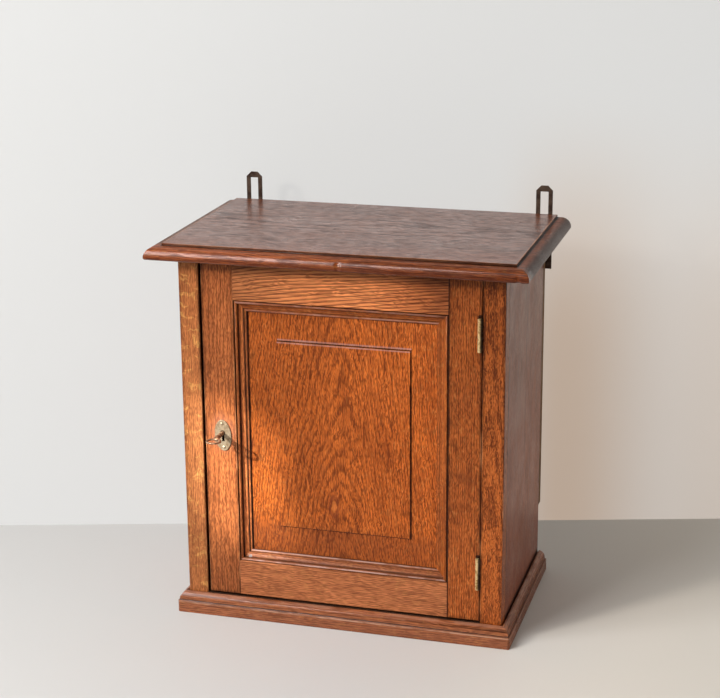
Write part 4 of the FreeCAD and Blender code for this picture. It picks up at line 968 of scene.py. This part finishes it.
def top_marks(place, colour):
    x, y, z = split(place)
    ends = calc("SUBTRACT", TOP_HIGH[0], calc("ABSOLUTE", x))
    inset = calc("MINIMUM", calc("SUBTRACT", y, TOP_FRONT), ends)
    uneven = cloud(place, (26, 26, 26), 3.0)
    # Faded colour that also stands in for the grey sheen of the flat.
    fade_and_sheen = times(grade(inset, STEP - 0.4, STEP + 1.5), grade(y, TOP_FRONT + STEP, TOP_FRONT + STEP + 60))
    colour = blend(fade_and_sheen, colour, stained_by(colour, FADED_AND_SHEEN))
    colour = blend(fall(z, TOP_UNDER + 1, TOP_UNDER + 11, 0.65), colour, NOSE_SHADE)
    end_grain = times(fall(ends, 4.0, 10.0, 0.8), grade(y, TOP_FRONT + 10, TOP_FRONT + 18))
    colour = blend(end_grain, colour, END_GRAIN)
    rubbed_and_lit = times(line(inset, STEP + 0.7, 1.2), grade(uneven, 0.35, 0.6, 0.15, 0.7))
    colour = blend(rubbed_and_lit, colour, RUBBED_ARRIS)
    # A painted line of shade at the foot of the step.
    return blend(times(line(inset, STEP - 0.8, 1.5), 0.95), colour, GRIME_AND_SHADE)


def left_end(x, y):
    end = TOP_LOW[0] + STEP
    return times(fall(x, end - 1, end + 1), grade(y, TOP_FRONT + 14, TOP_FRONT + 30))


def nose_marks(place, colour):
    x, y, _ = split(place)
    # Painted light: the nose is lighter to the left and darker to the right.
    colour = painted_light_along(SIDEWAYS, -230, 200, 1.25, 0.72)(place, colour)
    colour = blend(left_end(x, y), colour, stained_by(colour, END_FADED_AND_SHEEN))
    return top_marks(place, colour)


def waxed_round(place):
    x, y, z = split(place)
    front = grade(y, TOP_FRONT + 14, TOP_FRONT + 26, 1.0, 0.3)
    upper = grade(z, TOP_UNDER + 9, TOP_UNDER + 13, 1.0, 0.3)
    return times(most(front, left_end(x, y)), upper)


print("top board:", [round(high - low, 1) for low, high in zip(TOP_LOW, TOP_HIGH)], "mm")

# %% [markdown]
# The nose has two old knocks: a dent near the middle, and a chip near its right end. The board is
# sliced beside each, and the points between are pushed in. The flat and the moulded nose get a
# material each, of the same board.

# %% Top board
# Each knock: its place along the nose, half its width, its depth, all in metres, and the way it was hit.
DENT, CHIP = (0.0081, 0.005, 0.0014, (0, 1, 0)), (0.2189, 0.004, 0.0012, (0, 0.6, 0.8))
NOSE_REAR, NOSE_TOP = -0.127, 0.4695

top = copy_of("top_board")
soften(top, 0.7 * MM, shortest=0.03, sharpest=45)
for centre, half, deep, push in (DENT, CHIP):
    slice_at(top, SIDEWAYS, [centre + half * i / 3 for i in range(-3, 4)])
    for vert in top.verts:
        near = 1 - abs(vert.co.x - centre) / half
        if near > 0 and vert.co.y < NOSE_REAR and vert.co.z < NOSE_TOP:
            vert.co += Vector(push) * deep * near
for face in top.faces:
    face.material_index = int(face.calc_center_median().z * 1000 < TOP_HIGH[2] - 0.1)
cut = dict(grain="across", pith=(30, 370), tints=CHESTNUT, ring=3.8, taper=0.02, sway=24, dash=16, satin=0.3)
dress("top_board", top,
      oak("top_flat_oak", pores=1.0, shine=0.35, coat=1.0, marks=top_marks, **cut),
      oak("top_nose_oak", pores=0.8, shine=0.12, coat=waxed_round, coat_haze=0.2, mottle=0.7,
          marks=nose_marks, **cut))

# %% [markdown]
# The plinth is a low moulding, mitred at the front corners, which knocks have rounded. The corner is
# cut off by a plane through both strips, and its new arrises are bevelled with the rest. The upper
# edge of the lower board is rubbed pale and painted as a highlight, the crest of the moulding carries a
# pale painted highlight, and the groove between them is painted dark as shade. Most of the wax is left
# on the front.

# %% Plinth
CORNER_X, CORNER_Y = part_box("plinth_front")[1][0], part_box("plinth_front")[0][1]
CASE_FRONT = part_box("left_face_stile")[0][1]
CORNER_TRIM = 1.5 * MM
RUBBED_LIT_EDGE, PLINTH_CREST_HIGHLIGHT = tint(196, 150, 124), tint(190, 140, 116)
PLINTH = {"front": ("across", (-1, 1), 0.8), "left": ("deep", (-1,), 0.12), "right": ("deep", (1,), 0.12)}


def mitre(edge):
    return all(abs((abs(v.co.x) - SIDE_OUTER * MM) - (CASE_FRONT - v.co.y)) < 0.05 * MM for v in edge.verts)


def trim_corner(bm, sign):
    normal = Vector((sign, -1, 0)).normalized()
    corner = Vector((CORNER_X * sign, CORNER_Y, 0))
    found = bmesh.ops.bisect_plane(bm, geom=[*bm.verts, *bm.edges, *bm.faces], clear_outer=True,
                                   plane_co=corner - normal * CORNER_TRIM, plane_no=normal)
    rim = [item for item in found["geom_cut"] if isinstance(item, bmesh.types.BMEdge)]
    bmesh.ops.contextual_create(bm, geom=rim)


def plinth_marks(place, colour):
    z = split(place)[UP]
    uneven = cloud(place, (30, 30, 30), 3.0)
    # The upper edge of the lower board: rubbed pale and painted as a highlight.
    rubbed_and_lit = times(line(z, 14.0, 1.1), grade(uneven, 0.38, 0.6, 0.2, 0.85))
    colour = blend(rubbed_and_lit, colour, RUBBED_LIT_EDGE)
    # A pale painted highlight on the crest.
    crest = times(line(z, 25.2, 1.6), fall(uneven, 0.4, 0.6, 0.35))
    colour = blend(crest, colour, PLINTH_CREST_HIGHLIGHT)
    # Painted shade in the groove.
    return blend(times(line(z, 15.8, 1.0), 0.85), colour, GRIME_AND_SHADE)


for side, (grain, signs, coat) in PLINTH.items():
    strip = copy_of(f"plinth_{side}")
    for sign in signs:
        trim_corner(strip, sign)
    soften(strip, 0.6 * MM, lambda e: not mitre(e), sharpest=40)
    dress(f"plinth_{side}", strip,
          oak(f"plinth_{side}_oak", grain, (-60, -90), UMBER, ring=2.6, sway=8, dash=14, pores=0.6,
              mottle=0.7, satin=0.3, shine=0.15, coat=coat, coat_haze=0.2, marks=plinth_marks))

# %% [markdown]
# Inside and behind, the wood was never polished. It is the same oak, paler and dry, and the back
# boards are dusty. Low down, the front edge of these boards behind the gap under the door is painted
# dark as shade. These boards are dressed the same way, without wax.

# %% Plain boards
DUSTY = tint(148, 113, 82), tint(120, 87, 60)
INNER = {
    "bottom_board": ("across", (60, 110)), "bottom_front_rail": ("across", (-160, 60)),
    "top_front_rail": ("across", (-150, 400)), "top_rear_rail": ("across", (190, 420)),
    "lower_back_rail": ("across", (60, 60)), "shelf": ("across", (20, 330)),
    "shelf_cleat_left": ("deep", (-150, 260)), "shelf_cleat_right": ("deep", (150, 260)),
}
BACK = {"back_board_left": (-130, 90), "back_board_middle": (10, 220), "back_board_right": (150, 80)}


def shaded_sill(place, colour):
    _, y, z = split(place)
    # Painted shade on the front edge low down, behind the gap under the door.
    sill_shade = times(fall(y, -84, -80, 0.92), fall(z, 30, 60))
    return blend(sill_shade, colour, GRIME_AND_SHADE)


for index, (node, (grain, pith)) in enumerate(INNER.items()):
    board(node, oak(f"{node}_oak", grain, pith, PLAIN, ring=3.2, sway=12, ripple=3, pores=0.55, rays=0.3,
                    slide=150.0 * index, box=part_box(node), satin=0.6, coat=0.0, marks=shaded_sill),
          width=0.6 * MM)
for index, (node, pith) in enumerate(BACK.items()):
    board(node, oak(f"{node}_oak", "upright", pith, DUSTY, ring=4.0, sway=18, ripple=4, pores=0.6,
                    taper=0.02, slide=260.0 * index, box=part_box(node), satin=0.68, coat=0.0))

# %% [markdown]
# Old metal is patchy: it is bright where it is touched and dull where it is not, with pits and fine
# scratches. One group serves brass, iron and steel, with two tints for the bright and the dull metal.

# %% Old metal
old_metal, given, out = new_group(
    "old_metal",
    dict(Place=(0, 0, 0), Bright=tint(220, 190, 130), Dull=tint(120, 90, 50), Patch=9.0, Pits=0.5),
    ("Colour", "Dulled", "Height"),
)
sized = vector_calc("DIVIDE", given["Place"], join(given["Patch"], given["Patch"], given["Patch"]))
patches = cloud(sized, (1, 1, 1), 5.0, 0.65)
pits = grade(cloud(given["Place"], (0.9, 0.9, 0.9), 2.0), 0.60, 0.72)
pits = times(pits, given["Pits"])
scratches = grade(cloud(given["Place"], (0.35, 6.0, 9.0), 1.0), 0.64, 0.72, 0.0, 0.5)
dulled = most(grade(patches, 0.42, 0.64), pits)
skin = blend(dulled, given["Bright"], given["Dull"])
feed(out["Colour"], blend(times(scratches, 0.35), skin, given["Bright"]))
feed(out["Dulled"], dulled)
feed(out["Height"], calc("SUBTRACT", times(patches, 0.6), calc("ADD", pits, scratches)))
print("old metal:", len(old_metal.nodes), "nodes")

# %% [markdown]
# A metal material takes the two tints, how metallic and how rough it is, and the size of its patches
# in millimetres. Small fittings keep their CAD mesh, and the material goes into its slots.

# %% Metal material
METAL_BUMP, DULL_ROUGHNESS = 0.6, 0.22


def metal(name, bright, dull, metallic, rough, patch, pits, height=0.3 * MM, marks=None):
    material, tree, shader = new_material(name)
    place = millimetres(tree)
    skin = use_group(tree, old_metal, place=place, bright=bright, dull=dull, patch=patch, pits=pits)
    feed(shader.inputs["Base Color"], marks(place, skin["Colour"]) if marks else skin["Colour"])
    feed(shader.inputs["Roughness"], grade(skin["Dulled"], 0.0, 1.0, rough, rough + DULL_ROUGHNESS))
    feed(shader.inputs["Metallic"], metallic)
    roughen(shader, skin["Height"], METAL_BUMP, height)
    return material


def finish_nodes(material, *names):
    for name in names:
        for slot in NODES[name].material_slots:
            slot.material = material
    print(material.name, "on", len(names), "pieces")


print("metal material ready")

# %% [markdown]
# The keyhole plate is pale worn brass with pinned domes. The hinges are darker aged brass with painted
# shade on the side that faces away from the light, and the key is brown steel. The lock behind the door
# is dark iron, its screws and the others are brighter from the driver, and the hanging plates have gone
# rusty brown, with softened arrises.

# %% Fittings
def shaded_knuckle(place, colour):
    # Painted shade on the side of the knuckle away from the light.
    x = split(place)[SIDEWAYS]
    return blend(grade(x, HINGE_AXIS + 0.2, HINGE_AXIS + 1.6, 0.0, 0.92), colour, GRIME_AND_SHADE)


HINGE_PIECES = [f"{level}_hinge_{part}" for level in ("upper", "lower")
                for part in ("frame_leaf", "door_leaf", "pin")]
finish_nodes(metal("pale_brass", tint(176, 154, 126), tint(138, 114, 86), 0.5, 0.36, patch=6, pits=0.5),
             "escutcheon", "escutcheon_pins")
finish_nodes(metal("hinge_brass", tint(238, 208, 152), tint(164, 124, 74), 0.45, 0.3, patch=6, pits=0.5,
                   marks=shaded_knuckle),
             *HINGE_PIECES, "hinge_frame_screws", "hinge_door_screws", "lock_bolt")
finish_nodes(metal("brown_steel", tint(178, 138, 108), tint(100, 70, 52), 0.7, 0.38, patch=5, pits=0.6),
             "key")
finish_nodes(metal("dark_iron", tint(142, 128, 116), tint(84, 68, 58), 0.7, 0.4, patch=7, pits=0.7),
             "lock_plate", "lock_case", "lock_post", "lock_spring")
finish_nodes(metal("screw_iron", tint(170, 156, 140), tint(110, 92, 78), 0.7, 0.36, patch=3, pits=0.4),
             "lock_screws", "hanging_plate_screws", "top_board_screws", "shelf_cleat_screws", "back_nails")
rusty_iron = metal("rusty_iron", tint(88, 70, 58), tint(56, 38, 28), 0.35, 0.5, patch=10, pits=0.8,
                   height=0.5 * MM)
for side in ("left", "right"):
    board(f"hanging_plate_{side}", rusty_iron, width=0.35 * MM, shortest=0.004)
